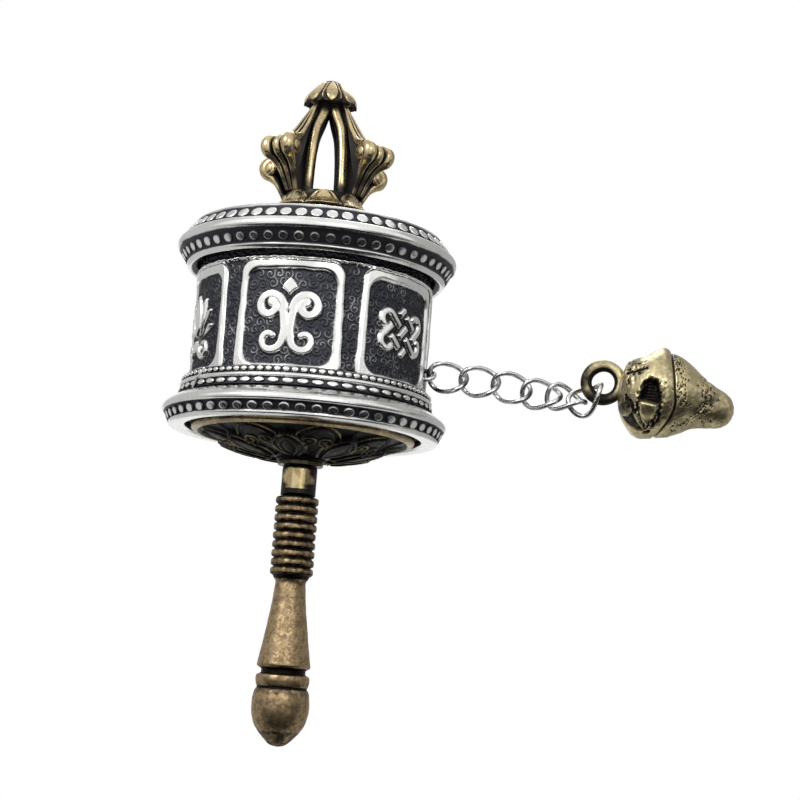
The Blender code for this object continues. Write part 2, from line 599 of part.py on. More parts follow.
# The half-thunderbolt finial: lotus base with a socket, four prongs with their leaves, crown and knob.
def make_finial(parts, cutters):
    tip = FINIAL_LOW + FINIAL_HEIGHT
    top = FINIAL_LOW + FINIAL_BASE_HEIGHT
    socket = SPINDLE_RADIUS + SEAT
    floor = FINIAL_LOW + SOCKET_DEPTH
    waist = (FINIAL_TOP_RADIUS, FINIAL_LOW + 0.7 * FINIAL_BASE_HEIGHT)
    edge = (FINIAL_BASE_RADIUS, FINIAL_LOW + 0.35 * FINIAL_BASE_HEIGHT)
    profile = [(0.0, top), (0.95 * FINIAL_TOP_RADIUS, top), waist]
    profile += arc(waist, (FINIAL_TOP_RADIUS, edge[1]), edge, 4)
    profile += [(0.9 * FINIAL_BASE_RADIUS, FINIAL_LOW), (socket, FINIAL_LOW), (socket, floor), (0.0, floor)]
    turned("finial", profile, FINIAL_STEPS, cutters)
    finial = solid(cutters.objects["finial"], cutters)
    crown_low = tip - KNOB_HEIGHT - CROWN_HEIGHT
    crown_high = tip - 0.6 * KNOB_HEIGHT
    crown = [(0.0, crown_high), (CROWN_RADIUS, crown_high), (0.8 * CROWN_RADIUS, crown_low), (0.0, crown_low)]
    turned("crown", crown, FINIAL_STEPS, cutters)
    pieces = [solid(cutters.objects["crown"], cutters), make_knob(tip, cutters)]
    for i in range(PRONG_COUNT):
        limb = [make_prong(i, top - 0.3 * FINIAL_BASE_HEIGHT, crown_low + 0.9 * CROWN_HEIGHT, cutters)]
        limb += [make_leaf(i, cutters)]
        turn = Matrix.Rotation(math.radians(360 / PRONG_COUNT * (i + 0.5)), 4, "Z")
        for piece in limb:
            piece.data.transform(turn)
        pieces += limb
    finial.data.transform(Matrix.Rotation(math.radians(FINIAL_TURN), 4, "Z"))
    for piece in pieces:
        piece.data.transform(Matrix.Rotation(math.radians(FINIAL_TURN), 4, "Z"))
        combine(finial, [piece], "UNION")
        finial = solid(finial, cutters)
    joined = solid(finial, parts)
    joined.data.materials.append(make_material(BRASS))
    smooth(joined)


# The frame of each link: a matrix at its middle, with +X along it, and the pivot at the link before.
def chain_frames():
    pivot = Vector((ANCHOR_REACH - (WIRE + LINK_PLAY) / 2, 0.0, RIM_PLANE + CHAIN_HEIGHT))
    frames = []
    for dip, roll, slack in zip(LINK_DIP, LINK_ROLL, LINK_SLACK):
        turn = Matrix.Rotation(math.radians(dip), 4, "Y") @ Matrix.Rotation(math.radians(roll), 4, "X")
        along = turn.to_3x3() @ Vector((1.0, 0.0, 0.0))
        middle = pivot + along * (LINK_STEP / 2 - slack)
        frames.append((Matrix.Translation(middle) @ turn, pivot.copy()))
        pivot = middle + along * (LINK_STEP / 2)
    return frames


# A curb link: an oval loop whose two ends lean opposite ways, so that linked ends cross at a right angle.
def link_loop():
    t = np.linspace(0.0, 2 * np.pi, LINK_POINTS, endpoint=False)
    half_length, half_width = LINK_LENGTH / 2, LINK_WIDTH / 2
    return list(zip(half_length * np.cos(t), half_width / 2 * np.sin(2 * t), half_width * np.sin(t)))


def make_chain(parts):
    for i, (frame, pivot) in enumerate(chain_frames()):
        offset = frame.inverted() @ pivot
        points = [Vector(p) - offset for p in link_loop()]
        link = wire(f"chain_link_{i + 1}", points, WIRE / 2, parts, DARK_SILVER, closed=True)
        link.matrix_world = Matrix.Translation(pivot) @ frame.to_3x3().to_4x4()


# The staple on the wall: a bent wire that leans as a link's end does.
def make_chain_anchor(parts):
    half = ANCHOR_WIDTH / 2
    foot = GROUND_RADIUS + SEAT
    angles = np.linspace(-90, 90, 9)
    points = [(foot, -half)]
    points += [(ANCHOR_REACH - half + half * math.cos(a), half * math.sin(a)) for a in np.radians(angles)]
    points += [(foot, half)]
    anchor = wire("chain_anchor", [(x, 0.0, s) for x, s in points], WIRE / 2, parts, DARK_SILVER)
    lean = Matrix.Rotation(math.radians(-45), 4, "X")
    anchor.matrix_world = Matrix.Translation((0.0, 0.0, RIM_PLANE + CHAIN_HEIGHT)) @ lean


# The weight's own frame: its origin is the centre of the ring, and +X runs to the tip.
def conch_frame():
    frame, pivot = chain_frames()[-1]
    along = frame.to_3x3() @ Vector((1.0, 0.0, 0.0))
    end = frame.translation + along * (LINK_LENGTH / 2)
    hold = end - along * (WIRE / 2 + LINK_PLAY + BAIL_TUBE + BAIL_SLACK)
    turn = Matrix.Rotation(math.radians(CONCH_DIP), 4, "Y")
    return hold, Matrix.Translation(hold + along * BAIL_RADIUS) @ turn


# The shell weight: a turned body with a slanting shoulder ridge, a shallow mouth, and the ring cast on.
def make_conch(parts, cutters):
    hold, frame = conch_frame()
    start = BAIL_RADIUS
    ridge, width, rim = CONCH_RIM, CONCH_RIM_WIDTH, CONCH_RIM_RADIUS
    shoulder = rim - CONCH_RIM_STEP
    rear = ridge + width
    whorl = (CONCH_WHORL_RADIUS, CONCH_WHORL)
    tail = (CONCH_WHORL_RADIUS - CONCH_WHORL_STEP, CONCH_WHORL + CONCH_WHORL_STEP)
    tip = (CONCH_TIP_RADIUS, CONCH_LENGTH - CONCH_TIP_RADIUS / 2)
    side = [(0.0, start), (0.6 * CONCH_NECK_RADIUS, start), (CONCH_NECK_RADIUS, start + 0.1 * ridge)]
    side += arc(side[-1], (shoulder, start + 0.15 * ridge), (shoulder, ridge - width), 5)
    side += [(rim, ridge - width / 2), (rim, ridge + width / 2), (shoulder, rear)]
    side += arc((shoulder, rear), (0.9 * shoulder, (rear + CONCH_WHORL) / 2), whorl, 3)
    side += [tail]
    side += arc(tail, (0.75 * tail[0], (tail[1] + tip[1]) / 2), tip, 3)
    side += arc(tip, (CONCH_TIP_RADIUS, CONCH_LENGTH), (0.0, CONCH_LENGTH), 3)
    turned("conch_weight", [(r, -s) for r, s in side], SMALL_STEPS, cutters)
    body = cutters.objects["conch_weight"]
    body.matrix_world = Matrix.Rotation(math.radians(-90), 4, "Y")
    body = solid(body, cutters)

    def slant(places):
        share = (places[:, 0] - start) / (CONCH_LENGTH - start)
        places[:, 0] -= CONCH_SLANT * places[:, 1] / rim * np.sin(np.pi * share) ** 2
        return places

    reshape(body, slant)
    body.data.transform(frame)
    angles = np.linspace(0.0, 2 * np.pi, SMALL_STEPS, endpoint=False)
    circle = [(BAIL_RADIUS * math.cos(a), 0.0, BAIL_RADIUS * math.sin(a)) for a in angles]
    bail = wire("bail", circle, BAIL_TUBE, cutters, closed=True)
    bail.matrix_world = frame
    mesh = bpy.data.meshes.new("mouth")
    shape = bmesh.new()
    bmesh.ops.create_uvsphere(shape, u_segments=12, v_segments=8, radius=1.0)
    shape.to_mesh(mesh)
    shape.free()
    place = frame @ Matrix.Translation((CONCH_MOUTH, -shoulder, 0.0))
    size = (CONCH_MOUTH_WIDTH / 2, CONCH_MOUTH_DEPTH, CONCH_MOUTH_LENGTH / 2, 1.0)
    mesh.transform(place @ Matrix.Diagonal(size))
    mouth = add_object("mouth", mesh, cutters)
    combine(body, [solid(bail, cutters)], "UNION")
    combine(body, [mouth], "DIFFERENCE")
    body.data.transform(Matrix.Translation(-hold))
    for cutter in (cutters.objects["bail"], mouth):
        cutter.data.transform(Matrix.Translation(-hold))
    weight = solid(body, parts)
    weight.data.materials.append(make_material(BRASS))
    weight.location = hold
    smooth(weight)


def build():
    clear_scene()
    parts = make_collection("prayer_wheel")
    cutters = make_collection("cutters")
    make_handle(parts)
    make_spindle(parts)
    make_bearings(parts)
    make_base_plate(parts)
    make_base_flange(parts)
    make_foot_band(parts)
    make_drum_shell(parts, cutters)
    make_lid(parts)
    make_scroll(parts)
    make_finial(parts, cutters)
    make_chain_anchor(parts)
    make_chain(parts)
    make_conch(parts, cutters)


build()
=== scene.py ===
# Hand prayer wheel: silver drum with framed panels, brass finial, handle and shell weight, curb chain.
# Lengths are millimetres until a mesh is made. Heights on the drum count from the plane of the flange's rim.
import json
import math
import bpy
import numpy as np
from mathutils import Matrix, Vector


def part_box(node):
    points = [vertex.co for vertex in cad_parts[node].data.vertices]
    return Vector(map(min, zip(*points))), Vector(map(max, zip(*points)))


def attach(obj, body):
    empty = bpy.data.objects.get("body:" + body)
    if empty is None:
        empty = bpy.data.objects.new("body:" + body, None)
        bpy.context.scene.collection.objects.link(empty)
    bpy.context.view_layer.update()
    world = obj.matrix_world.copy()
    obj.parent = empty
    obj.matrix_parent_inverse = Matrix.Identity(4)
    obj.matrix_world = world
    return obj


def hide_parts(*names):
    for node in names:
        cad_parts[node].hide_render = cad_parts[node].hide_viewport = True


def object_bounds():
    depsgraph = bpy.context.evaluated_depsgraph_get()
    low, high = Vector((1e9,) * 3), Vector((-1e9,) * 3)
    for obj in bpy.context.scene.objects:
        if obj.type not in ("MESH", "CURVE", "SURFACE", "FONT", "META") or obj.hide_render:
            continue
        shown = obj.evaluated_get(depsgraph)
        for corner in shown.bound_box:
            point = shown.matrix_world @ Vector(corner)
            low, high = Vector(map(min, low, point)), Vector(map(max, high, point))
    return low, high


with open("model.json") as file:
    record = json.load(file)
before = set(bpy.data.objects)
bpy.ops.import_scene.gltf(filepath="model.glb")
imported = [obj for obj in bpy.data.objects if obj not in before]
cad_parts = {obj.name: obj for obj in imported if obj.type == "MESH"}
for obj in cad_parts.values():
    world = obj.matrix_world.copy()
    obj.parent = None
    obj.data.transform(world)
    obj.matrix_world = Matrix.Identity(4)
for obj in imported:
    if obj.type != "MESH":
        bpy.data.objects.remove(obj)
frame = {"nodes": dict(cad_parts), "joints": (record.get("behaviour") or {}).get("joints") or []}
cadLow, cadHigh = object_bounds()
print("frame loaded:", len(frame["nodes"]), "nodes")

mm = 0.001
fullTurn = 2 * np.pi


# lowest and highest corner of a CAD node, in millimetres
def nodeBox(node):
    return [np.array(corner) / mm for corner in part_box(node)]


# pivot of a joint, in millimetres
def jointPlace(name):
    return np.array(next(j["pos_m"] for j in frame["joints"] if j["name"] == name)) / mm


# cubic ease: 0 up to low, 1 from high on, 3tt - 2ttt between
def ease(value, low, high):
    t = np.clip((value - low) / (high - low), 0.0, 1.0)
    return t * t * (3.0 - 2.0 * t)


# bell: e to the minus square of the distance over the width
def bell(distance, width):
    return np.exp(-(distance / width) ** 2)


# angles of a full circle in equal steps
def circleSteps(steps):
    return np.linspace(0.0, fullTurn, steps, endpoint=False)


# points about the axis: radius times cosine and sine of the angle, and a height
def aroundAxis(radius, angle, height):
    return np.stack([radius * np.cos(angle), radius * np.sin(angle), height], axis=-1)


# length along a line up to each of its points
def runLength(line):
    return np.concatenate([[0.0], np.cumsum(np.linalg.norm(np.diff(line, axis=0), axis=1))])


# unevenness of a worked surface: a sum of sine waves in random directions, about -1 to 1
def ripple(points, wavelength, seed):
    waves = 14
    draw = np.random.default_rng(seed)
    ways = draw.normal(size=(waves, 3))
    ways /= np.linalg.norm(ways, axis=1, keepdims=True)
    ways *= fullTurn / wavelength * draw.uniform(0.6, 1.6, (waves, 1))
    phases = draw.uniform(0.0, fullTurn, waves)
    return np.sin(points @ ways.T + phases).sum(axis=-1) / math.sqrt(waves)


# turn about an axis as a 3 by 3 array
def turnAbout(axis, degrees):
    return np.array(Matrix.Rotation(math.radians(degrees), 3, axis))


# a grid of rows and columns joined into quads; poles close the first and the last row with one point each
def gridShape(points, oxide, wrapRows=False, wrapCols=True, poles=()):
    rows, cols = points.shape[:2]
    index = np.arange(rows * cols).reshape(rows, cols)
    tall = np.vstack([index, index[:1]]) if wrapRows else index
    wide = np.hstack([tall, tall[:, :1]]) if wrapCols else tall
    quads = np.stack([wide[:-1, :-1], wide[1:, :-1], wide[1:, 1:], wide[:-1, 1:]], axis=-1)
    faces = [quads.reshape(-1, 4)]
    flat, marks = points.reshape(-1, 3), oxide.reshape(-1)
    for pole, row, way in zip(poles, index[[0, -1]], (1, -1)):
        ring = np.append(row, row[0])
        top = np.full(cols, len(flat))
        faces.append(np.stack([top, ring[:-1], ring[1:]], axis=-1)[:, ::way])
        flat = np.vstack([flat, pole])
        marks = np.append(marks, marks[row].mean())
    return flat, faces, marks


# flips a closed shape whose signed volume is negative, so that its faces point outwards
def outward(shape):
    points, faces, oxide = shape
    volume = 0.0
    for part in faces:
        first = points[part[:, 0]]
        for k in range(1, part.shape[1] - 1):
            volume += np.einsum("ij,ij->", first, np.cross(points[part[:, k]], points[part[:, k + 1]]))
    if volume < 0.0:
        faces = [part[:, ::-1] for part in faces]
    return points, faces, oxide


# a shape moved: its points turned by a 3 by 3 array, then shifted
def placed(shape, turn, shift=(0.0, 0.0, 0.0)):
    return shape[0] @ turn.T + np.asarray(shift), shape[1], shape[2]


# a new object in the scene
def newObject(name, data):
    item = bpy.data.objects.new(name, data)
    bpy.context.scene.collection.objects.link(item)
    return item


# shapes joined to one mesh, with its oxide mark on every point, riding on a body in place of CAD nodes
def putPiece(name, shapes, finish, body, nodes):
    shapes = [outward(shape) for shape in shapes]
    counts = np.cumsum([0] + [len(shape[0]) for shape in shapes])
    points, oxide = (np.concatenate([shape[k] for shape in shapes]) for k in (0, 2))
    faces = [part + start for shape, start in zip(shapes, counts) for part in shape[1]]
    loops = np.concatenate([part.ravel() for part in faces]).astype(np.int32)
    totals = np.concatenate([np.full(len(part), part.shape[1]) for part in faces]).astype(np.int32)
    starts = np.concatenate([[0], np.cumsum(totals)[:-1]]).astype(np.int32)
    mesh = bpy.data.meshes.new(name)
    mesh.vertices.add(len(points))
    mesh.vertices.foreach_set("co", (points * mm).astype(np.float32).ravel())
    mesh.loops.add(len(loops))
    mesh.loops.foreach_set("vertex_index", loops)
    mesh.polygons.add(len(totals))
    mesh.polygons.foreach_set("loop_start", starts)
    mesh.polygons.foreach_set("loop_total", totals)
    mesh.polygons.foreach_set("use_smooth", np.ones(len(totals), dtype=bool))
    mesh.update(calc_edges=True)
    mark = mesh.attributes.new("oxide", "FLOAT", "POINT")
    mark.data.foreach_set("value", np.clip(oxide, 0.0, 1.0).astype(np.float32))
    mesh.materials.append(finish)
    piece = newObject(name, mesh)
    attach(piece, body)
    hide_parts(*nodes)
    print(name, "made:", int((totals - 2).sum()), "triangles")


# corners (radius, height, rounding, oxide) as a fine line: each corner is a quadratic arc that starts and
# ends the rounding away from it, and the stretches between are cut into equal steps
def softProfile(corners, step, closed):
    corners = np.array(corners, dtype=float)
    t = np.linspace(0.0, 1.0, 6)[:, None]
    line = []
    for i, corner in enumerate(corners):
        if corner[2] == 0.0:
            line.append(corner[None, [0, 1, 3]])
            continue
        legs = [corners[k][:2] - corner[:2] for k in (i - 1, (i + 1) % len(corners))]
        spans = [np.linalg.norm(leg) for leg in legs]
        reach = min(corner[2], 0.48 * min(spans))  # under half of the shorter leg
        start, end = (corner[:2] + leg / span * reach for leg, span in zip(legs, spans))
        bend = (1 - t) ** 2 * start + 2 * t * (1 - t) * corner[:2] + t * t * end
        line.append(np.hstack([bend, np.full_like(t, corner[3])]))
    line = np.vstack(line + [line[0][:1]] if closed else line)
    length = runLength(line[:, :2])
    stops = np.unique(np.concatenate([length, np.arange(0.0, length[-1], step)]))
    stops = stops[np.concatenate([[True], np.diff(stops) > 0.2 * step])]
    if closed:
        stops = stops[stops < length[-1] - 0.2 * step]
    return [np.interp(stops, length, line[:, k]) for k in range(3)]


# corners turned about the wheel's axis, base above its zero; values hold the step along the line and the
# steps round, and relief gives a shift out, a shift up and added oxide for angle, radius, height
def turnedShape(corners, values, base=0.0, closed=True, relief=None):
    profile = softProfile(corners, values["step"], closed)
    radius, height, oxide = (np.repeat(line[:, None], values["steps"], axis=1) for line in profile)
    height = height + base
    angle = np.broadcast_to(circleSteps(values["steps"]), radius.shape)
    if relief:
        out, up, added = relief(angle, radius, height)
        radius, height, oxide = radius + out, height + up, oxide + added
    points = aroundAxis(radius, angle, height)
    if closed:
        return gridShape(points, oxide, wrapRows=True)
    ends = [(0.0, 0.0, points[row, :, 2].mean()) for row in (0, -1)]
    return gridShape(points[1:-1], oxide[1:-1], poles=ends)


# a relief for turned silver: the radius wavers with a ripple
def workedSkin(waver, seed):
    def worked(angle, radius, height):
        return waver * ripple(aroundAxis(radius, angle, height), 5.0, seed), 0.0, 0.0

    return worked


# a row of flat beads round the axis: low discs with soft edges, laid along the row and up its slope
def beadRing(values):
    count, sides = values["count"], 10
    # rim is the oxide on each bead's outer slope; the groove round the bead holds patina, and rows that face
    # down raise the rim as painted shade
    share = np.array([0.55, 0.88, 1.0, 1.0])[:, None]
    rise, shade = [0.99, 0.88, 0.35, -0.8], [0.0, values["rim"], 0.9, 1.0]
    rise, shade = (np.repeat(np.array(line)[:, None], sides, axis=1) for line in (rise, shade))
    form = aroundAxis(share, circleSteps(sides), rise)
    points, faces, oxide = gridShape(form, shade, poles=((0, 0, 1.0), (0, 0, -0.8)))
    oxide[-2:] = (0.0, 1.0)
    lean = math.radians(values["lean"])
    x, y, z = points.T * np.array([[values["along"]], [values["across"]], [values["out"]]])
    radius = values["radius"] - y * math.sin(lean) + z * math.cos(lean)
    height = rimPlane + values["height"] + y * math.cos(lean) + z * math.sin(lean)
    angle = (np.arange(count) + 0.5)[:, None] * fullTurn / count
    swing = aroundAxis(radius, angle, np.broadcast_to(height, (count, len(height))))
    swing[..., 0] -= x * np.sin(angle)
    swing[..., 1] += x * np.cos(angle)
    starts = np.arange(count)[:, None, None] * len(points)
    faces = [(part[None] + starts).reshape(-1, part.shape[1]) for part in faces]
    # the oxide profile is scaled and a film is added; on rows that face down the film is painted shade
    return swing.reshape(-1, 3), faces, np.tile(oxide * values["patinaAndShade"] + values["filmAndShade"], count)


# a round tube along a path: circles across the path, started from a reference direction
def tubeShape(path, radii, reference, closed=False, sides=14):
    ahead = np.roll(path, -1, axis=0) - np.roll(path, 1, axis=0) if closed else np.gradient(path, axis=0)
    ahead /= np.linalg.norm(ahead, axis=1, keepdims=True)
    first = reference - (reference * ahead).sum(axis=1, keepdims=True) * ahead
    first /= np.linalg.norm(first, axis=1, keepdims=True)
    second = np.cross(ahead, first)
    around = circleSteps(sides)[None, :, None]
    ring = np.cos(around) * first[:, None] + np.sin(around) * second[:, None]
    radii = np.broadcast_to(radii, len(path))
    points = path[:, None] + radii[:, None, None] * ring
    oxide = np.zeros(points.shape[:2])
    if closed:
        return gridShape(points, oxide, wrapRows=True)
    ends = (path[0] - ahead[0] * radii[0] * 0.3, path[-1] + ahead[-1] * radii[-1] * 0.3)
    return gridShape(points, oxide, poles=ends)


# cubic curve through stops at the given places: a Hermite curve with the slopes of the neighbours
def curveThrough(stops, values, places):
    slope = np.gradient(values, stops)
    k = np.clip(np.searchsorted(stops, places, side="right") - 1, 0, len(stops) - 2)
    span = stops[k + 1] - stops[k]
    t = (places - stops[k]) / span
    return ((2 * t ** 3 - 3 * t ** 2 + 1) * values[k] + (t ** 3 - 2 * t ** 2 + t) * span * slope[k]
            + (3 * t ** 2 - 2 * t ** 3) * values[k + 1] + (t ** 3 - t ** 2) * span * slope[k + 1])


# inputs of a node: each takes a constant or the output of another node
def feed(tree, node, inputs):
    for key, value in inputs.items():
        if isinstance(value, bpy.types.NodeSocket):
            tree.links.new(value, node.inputs[key])
        else:
            node.inputs[key].default_value = value


# a new node with its settings and inputs
def addNode(tree, kind, inputs, **settings):
    node = tree.nodes.new("ShaderNode" + kind)
    for key, value in settings.items():
        setattr(node, key, value)
    feed(tree, node, inputs)
    return node.outputs


# a material, its node tree and its shader
def newMaterial(name):
    material = bpy.data.materials.new(name)
    material.use_nodes = True
    return material, material.node_tree, material.node_tree.nodes["Principled BSDF"]


# aged metal: polished colour with blotches of tarnish that goes over to oxide where mark and blotches add up,
# with a roughness that follows and a bump from the same noise; smooth and rough are the roughness of polished
# metal and of oxide, blotch and grain are noise scales, edge the sums at which oxide begins and is full
def metalFinish(name, polished, tarnish, oxide, smooth, rough, blotch, grain, edge, bump):
    material, tree, shader = newMaterial(name)
    place = addNode(tree, "TexCoord", {})["Object"]
    mark = addNode(tree, "Attribute", {}, attribute_name="oxide")["Fac"]

    def noise(scale, detail):
        return addNode(tree, "TexNoise", {"Scale": scale, "Detail": detail, "Vector": place})["Fac"]

    def ramp(value, span, target):
        ends = dict(zip(("From Min", "From Max", "To Min", "To Max"), (*span, *target)))
        return addNode(tree, "MapRange", {**ends, "Value": value}, interpolation_type="SMOOTHSTEP")["Result"]

    def sums(first, second):
        return addNode(tree, "Math", {0: first, 1: second})["Value"]

    def mixed(factor, first, second):
        return addNode(tree, "Mix", {"Factor": factor, "A": first, "B": second}, data_type="RGBA")["Result"]

    blotches, grains = noise(blotch, 5.0), noise(grain, 3.0)
    both = sums(blotches, grains)
    worn = sums(mark, ramp(blotches, (0.3, 0.7), (-0.14, 0.14)))
    metal = mixed(ramp(both, (0.78, 1.25), (0.0, 0.85)), (*polished, 1.0), (*tarnish, 1.0))
    colour = mixed(ramp(worn, edge, (0.0, 1.0)), metal, (*oxide, 1.0))
    gloss = sums(ramp(worn, edge, (smooth, rough)), ramp(grains, (0.3, 0.7), (-0.05, 0.07)))
    normal = addNode(tree, "Bump", {"Strength": bump, "Distance": 0.05 * mm, "Height": both})["Normal"]
    feed(tree, shader, {"Metallic": 1.0, "Base Color": colour, "Roughness": gloss, "Normal": normal})
    return material


# rolled paper: fine rings round the axis over a pale ground
def paperFinish():
    material, tree, shader = newMaterial("rolled_paper")
    place = addNode(tree, "TexCoord", {})["Object"]
    wave = {"Scale": 900, "Distortion": 0.6, "Vector": place}
    rings = addNode(tree, "TexWave", wave, wave_type="RINGS", rings_direction="Z")["Fac"]
    pale, dark = (0.78, 0.69, 0.51, 1.0), (0.52, 0.43, 0.29, 1.0)
    colour = addNode(tree, "Mix", {"Factor": rings, "A": dark, "B": pale}, data_type="RGBA")["Result"]
    feed(tree, shader, {"Roughness": 0.8, "Base Color": colour})
    return material


silver = metalFinish(
    "aged_silver", polished=(0.82, 0.815, 0.80), tarnish=(0.72, 0.715, 0.69), oxide=(0.046, 0.048, 0.056),
    smooth=0.20, rough=0.5, blotch=420, grain=3600, edge=(0.25, 0.8), bump=0.04)
chainSilver = metalFinish(
    "chain_silver", polished=(0.74, 0.74, 0.74), tarnish=(0.52, 0.52, 0.52), oxide=(0.05, 0.05, 0.055),
    smooth=0.22, rough=0.45, blotch=700, grain=4000, edge=(0.3, 0.9), bump=0.06)
finialBrass = metalFinish(
    "finial_brass", polished=(0.66, 0.535, 0.30), tarnish=(0.36, 0.285, 0.165), oxide=(0.034, 0.031, 0.029),
    smooth=0.25, rough=0.48, blotch=520, grain=3200, edge=(0.22, 0.72), bump=0.05)
shellBrass = metalFinish(
    "shell_brass", polished=(0.61, 0.525, 0.295), tarnish=(0.36, 0.305, 0.185), oxide=(0.026, 0.023, 0.021),
    smooth=0.36, rough=0.55, blotch=460, grain=2600, edge=(0.25, 0.8), bump=0.14)
plateBrass = metalFinish(
    "dark_plate_brass", polished=(0.42, 0.33, 0.17), tarnish=(0.17, 0.14, 0.09), oxide=(0.010, 0.010, 0.010),
    smooth=0.32, rough=0.5, blotch=380, grain=2600, edge=(0.15, 0.7), bump=0.15)
handleBronze = metalFinish(
    "handle_bronze", polished=(0.43, 0.31, 0.172), tarnish=(0.19, 0.135, 0.08), oxide=(0.012, 0.010, 0.009),
    smooth=0.42, rough=0.52, blotch=1500, grain=4200, edge=(0.2, 0.85), bump=0.22)
shaftBrass = metalFinish(
    "shaft_brass", polished=(0.62, 0.49, 0.26), tarnish=(0.34, 0.26, 0.135), oxide=(0.030, 0.027, 0.024),
    smooth=0.16, rough=0.45, blotch=800, grain=2400, edge=(0.25, 0.8), bump=0.08)
darkBrass = metalFinish(
    "dark_brass", polished=(0.11, 0.09, 0.06), tarnish=(0.06, 0.05, 0.035), oxide=(0.01, 0.01, 0.01),
    smooth=0.35, rough=0.5, blotch=800, grain=2400, edge=(0.25, 0.8), bump=0.08)
paper = paperFinish()
print("finishes made")

# base flange: bright band over a beaded bevel and a lip, bored for the base plate; the corners are dark
# where the beads stand in their groove
flange = dict(
    lipDrop=2.0, bore=12.5, seat=12.78, steps=224, step=0.16, waver=0.012,
    # these beads face down: their high rim and film are painted shade
    beads=dict(count=56, radius=14.48, height=-1.12, lean=-24, along=0.62, across=0.5, out=0.13, rim=0.66,
        patinaAndShade=0.8, filmAndShade=0.14))
flangeLow, flangeHigh = nodeBox("base_flange")
rimPlane = flangeLow[2] + flange["lipDrop"]
seat, bore, edge = flange["seat"], flange["bore"], flangeHigh[0]
corners = [
    (seat, 1.12, 0, 1), (13.42, 1.12, 0.05, 0.9), (13.55, 1.15, 0.12, 0.25), (13.95, 0.92, 0.3, 0),
    (14.72, 0.42, 0.5, 0), (edge, -0.02, 0.35, 0), (edge - 0.02, -0.42, 0.25, 0.02),
    (14.86, -0.56, 0.08, 0.5), (14.66, -0.6, 0.05, 1), (14.27, -1.5, 0.06, 1), (14.36, -1.66, 0.06, 0.45),
    (14.3, -1.84, 0.16, 0), (14.02, -2, 0.2, 0), (13.1, -2, 0.3, 0.05), (12.62, -1.9, 0.2, 0.3),
    (bore, -1.6, 0.1, 1), (bore, 0.2, 0, 1), (seat, 0.2, 0, 1)]
ring = turnedShape(corners, flange, rimPlane, relief=workedSkin(flange["waver"], 11))
putPiece("beaded_flange", [ring, beadRing(flange["beads"])], silver, "drum", ["base_flange"])

# foot band: a small bead row, a bright line and an oval bead row on a tapering strip; the seam is the lap
# where its two ends meet, a slanting wire through (radius, degrees, height)
band = dict(
    low=1.24, high=3.24, inner=12.79, steps=224, step=0.12,
    small=dict(count=92, radius=13.15, height=2.86, lean=8, along=0.37, across=0.23, out=0.18, rim=0.1,
        patinaAndShade=0.8, filmAndShade=0.0),
    large=dict(count=56, radius=13.36, height=1.66, lean=10, along=0.62, across=0.27, out=0.17, rim=0.2,
        patinaAndShade=0.8, filmAndShade=0.12),
    seam=((13.22, 228.5, 3.2), (13.38, 226.9, 2.6), (13.58, 225.3, 2.2), (13.5, 223.9, 1.7),
        (13.58, 222.4, 1.2)),
    seamWire=0.1, seamPoints=25)
inner, low, high = band["inner"], band["low"], band["high"]
corners = [
    (inner, high, 0, 1), (13.08, high, 0.04, 0.8), (13.12, 3.12, 0.04, 0.7), (13.05, 3.06, 0.03, 1),
    (13.1, 2.62, 0.03, 1), (13.24, 2.56, 0.04, 0.5), (13.46, 2.4, 0.1, 0), (13.5, 2.16, 0.1, 0),
    (13.33, 2.02, 0.05, 0.6), (13.26, 1.98, 0.03, 1), (13.36, 1.34, 0.03, 1), (13.46, 1.28, 0.03, 0.9),
    (13.46, low, 0, 1), (inner, low, 0, 1)]
strip = [turnedShape(corners, band, rimPlane), beadRing(band["small"]), beadRing(band["large"])]
seam = np.array(band["seam"])
spots = np.linspace(0, len(seam) - 1, band["seamPoints"])
reach, turn, up = (np.interp(spots, np.arange(len(seam)), line) for line in seam.T)
path = aroundAxis(reach, np.radians(turn), up + rimPlane)
strip.append(tubeShape(path, band["seamWire"], np.array([0.0, 0.0, 1.0]), sides=10))
putPiece("beaded_foot_band", strip, silver, "drum", ["foot_band"])

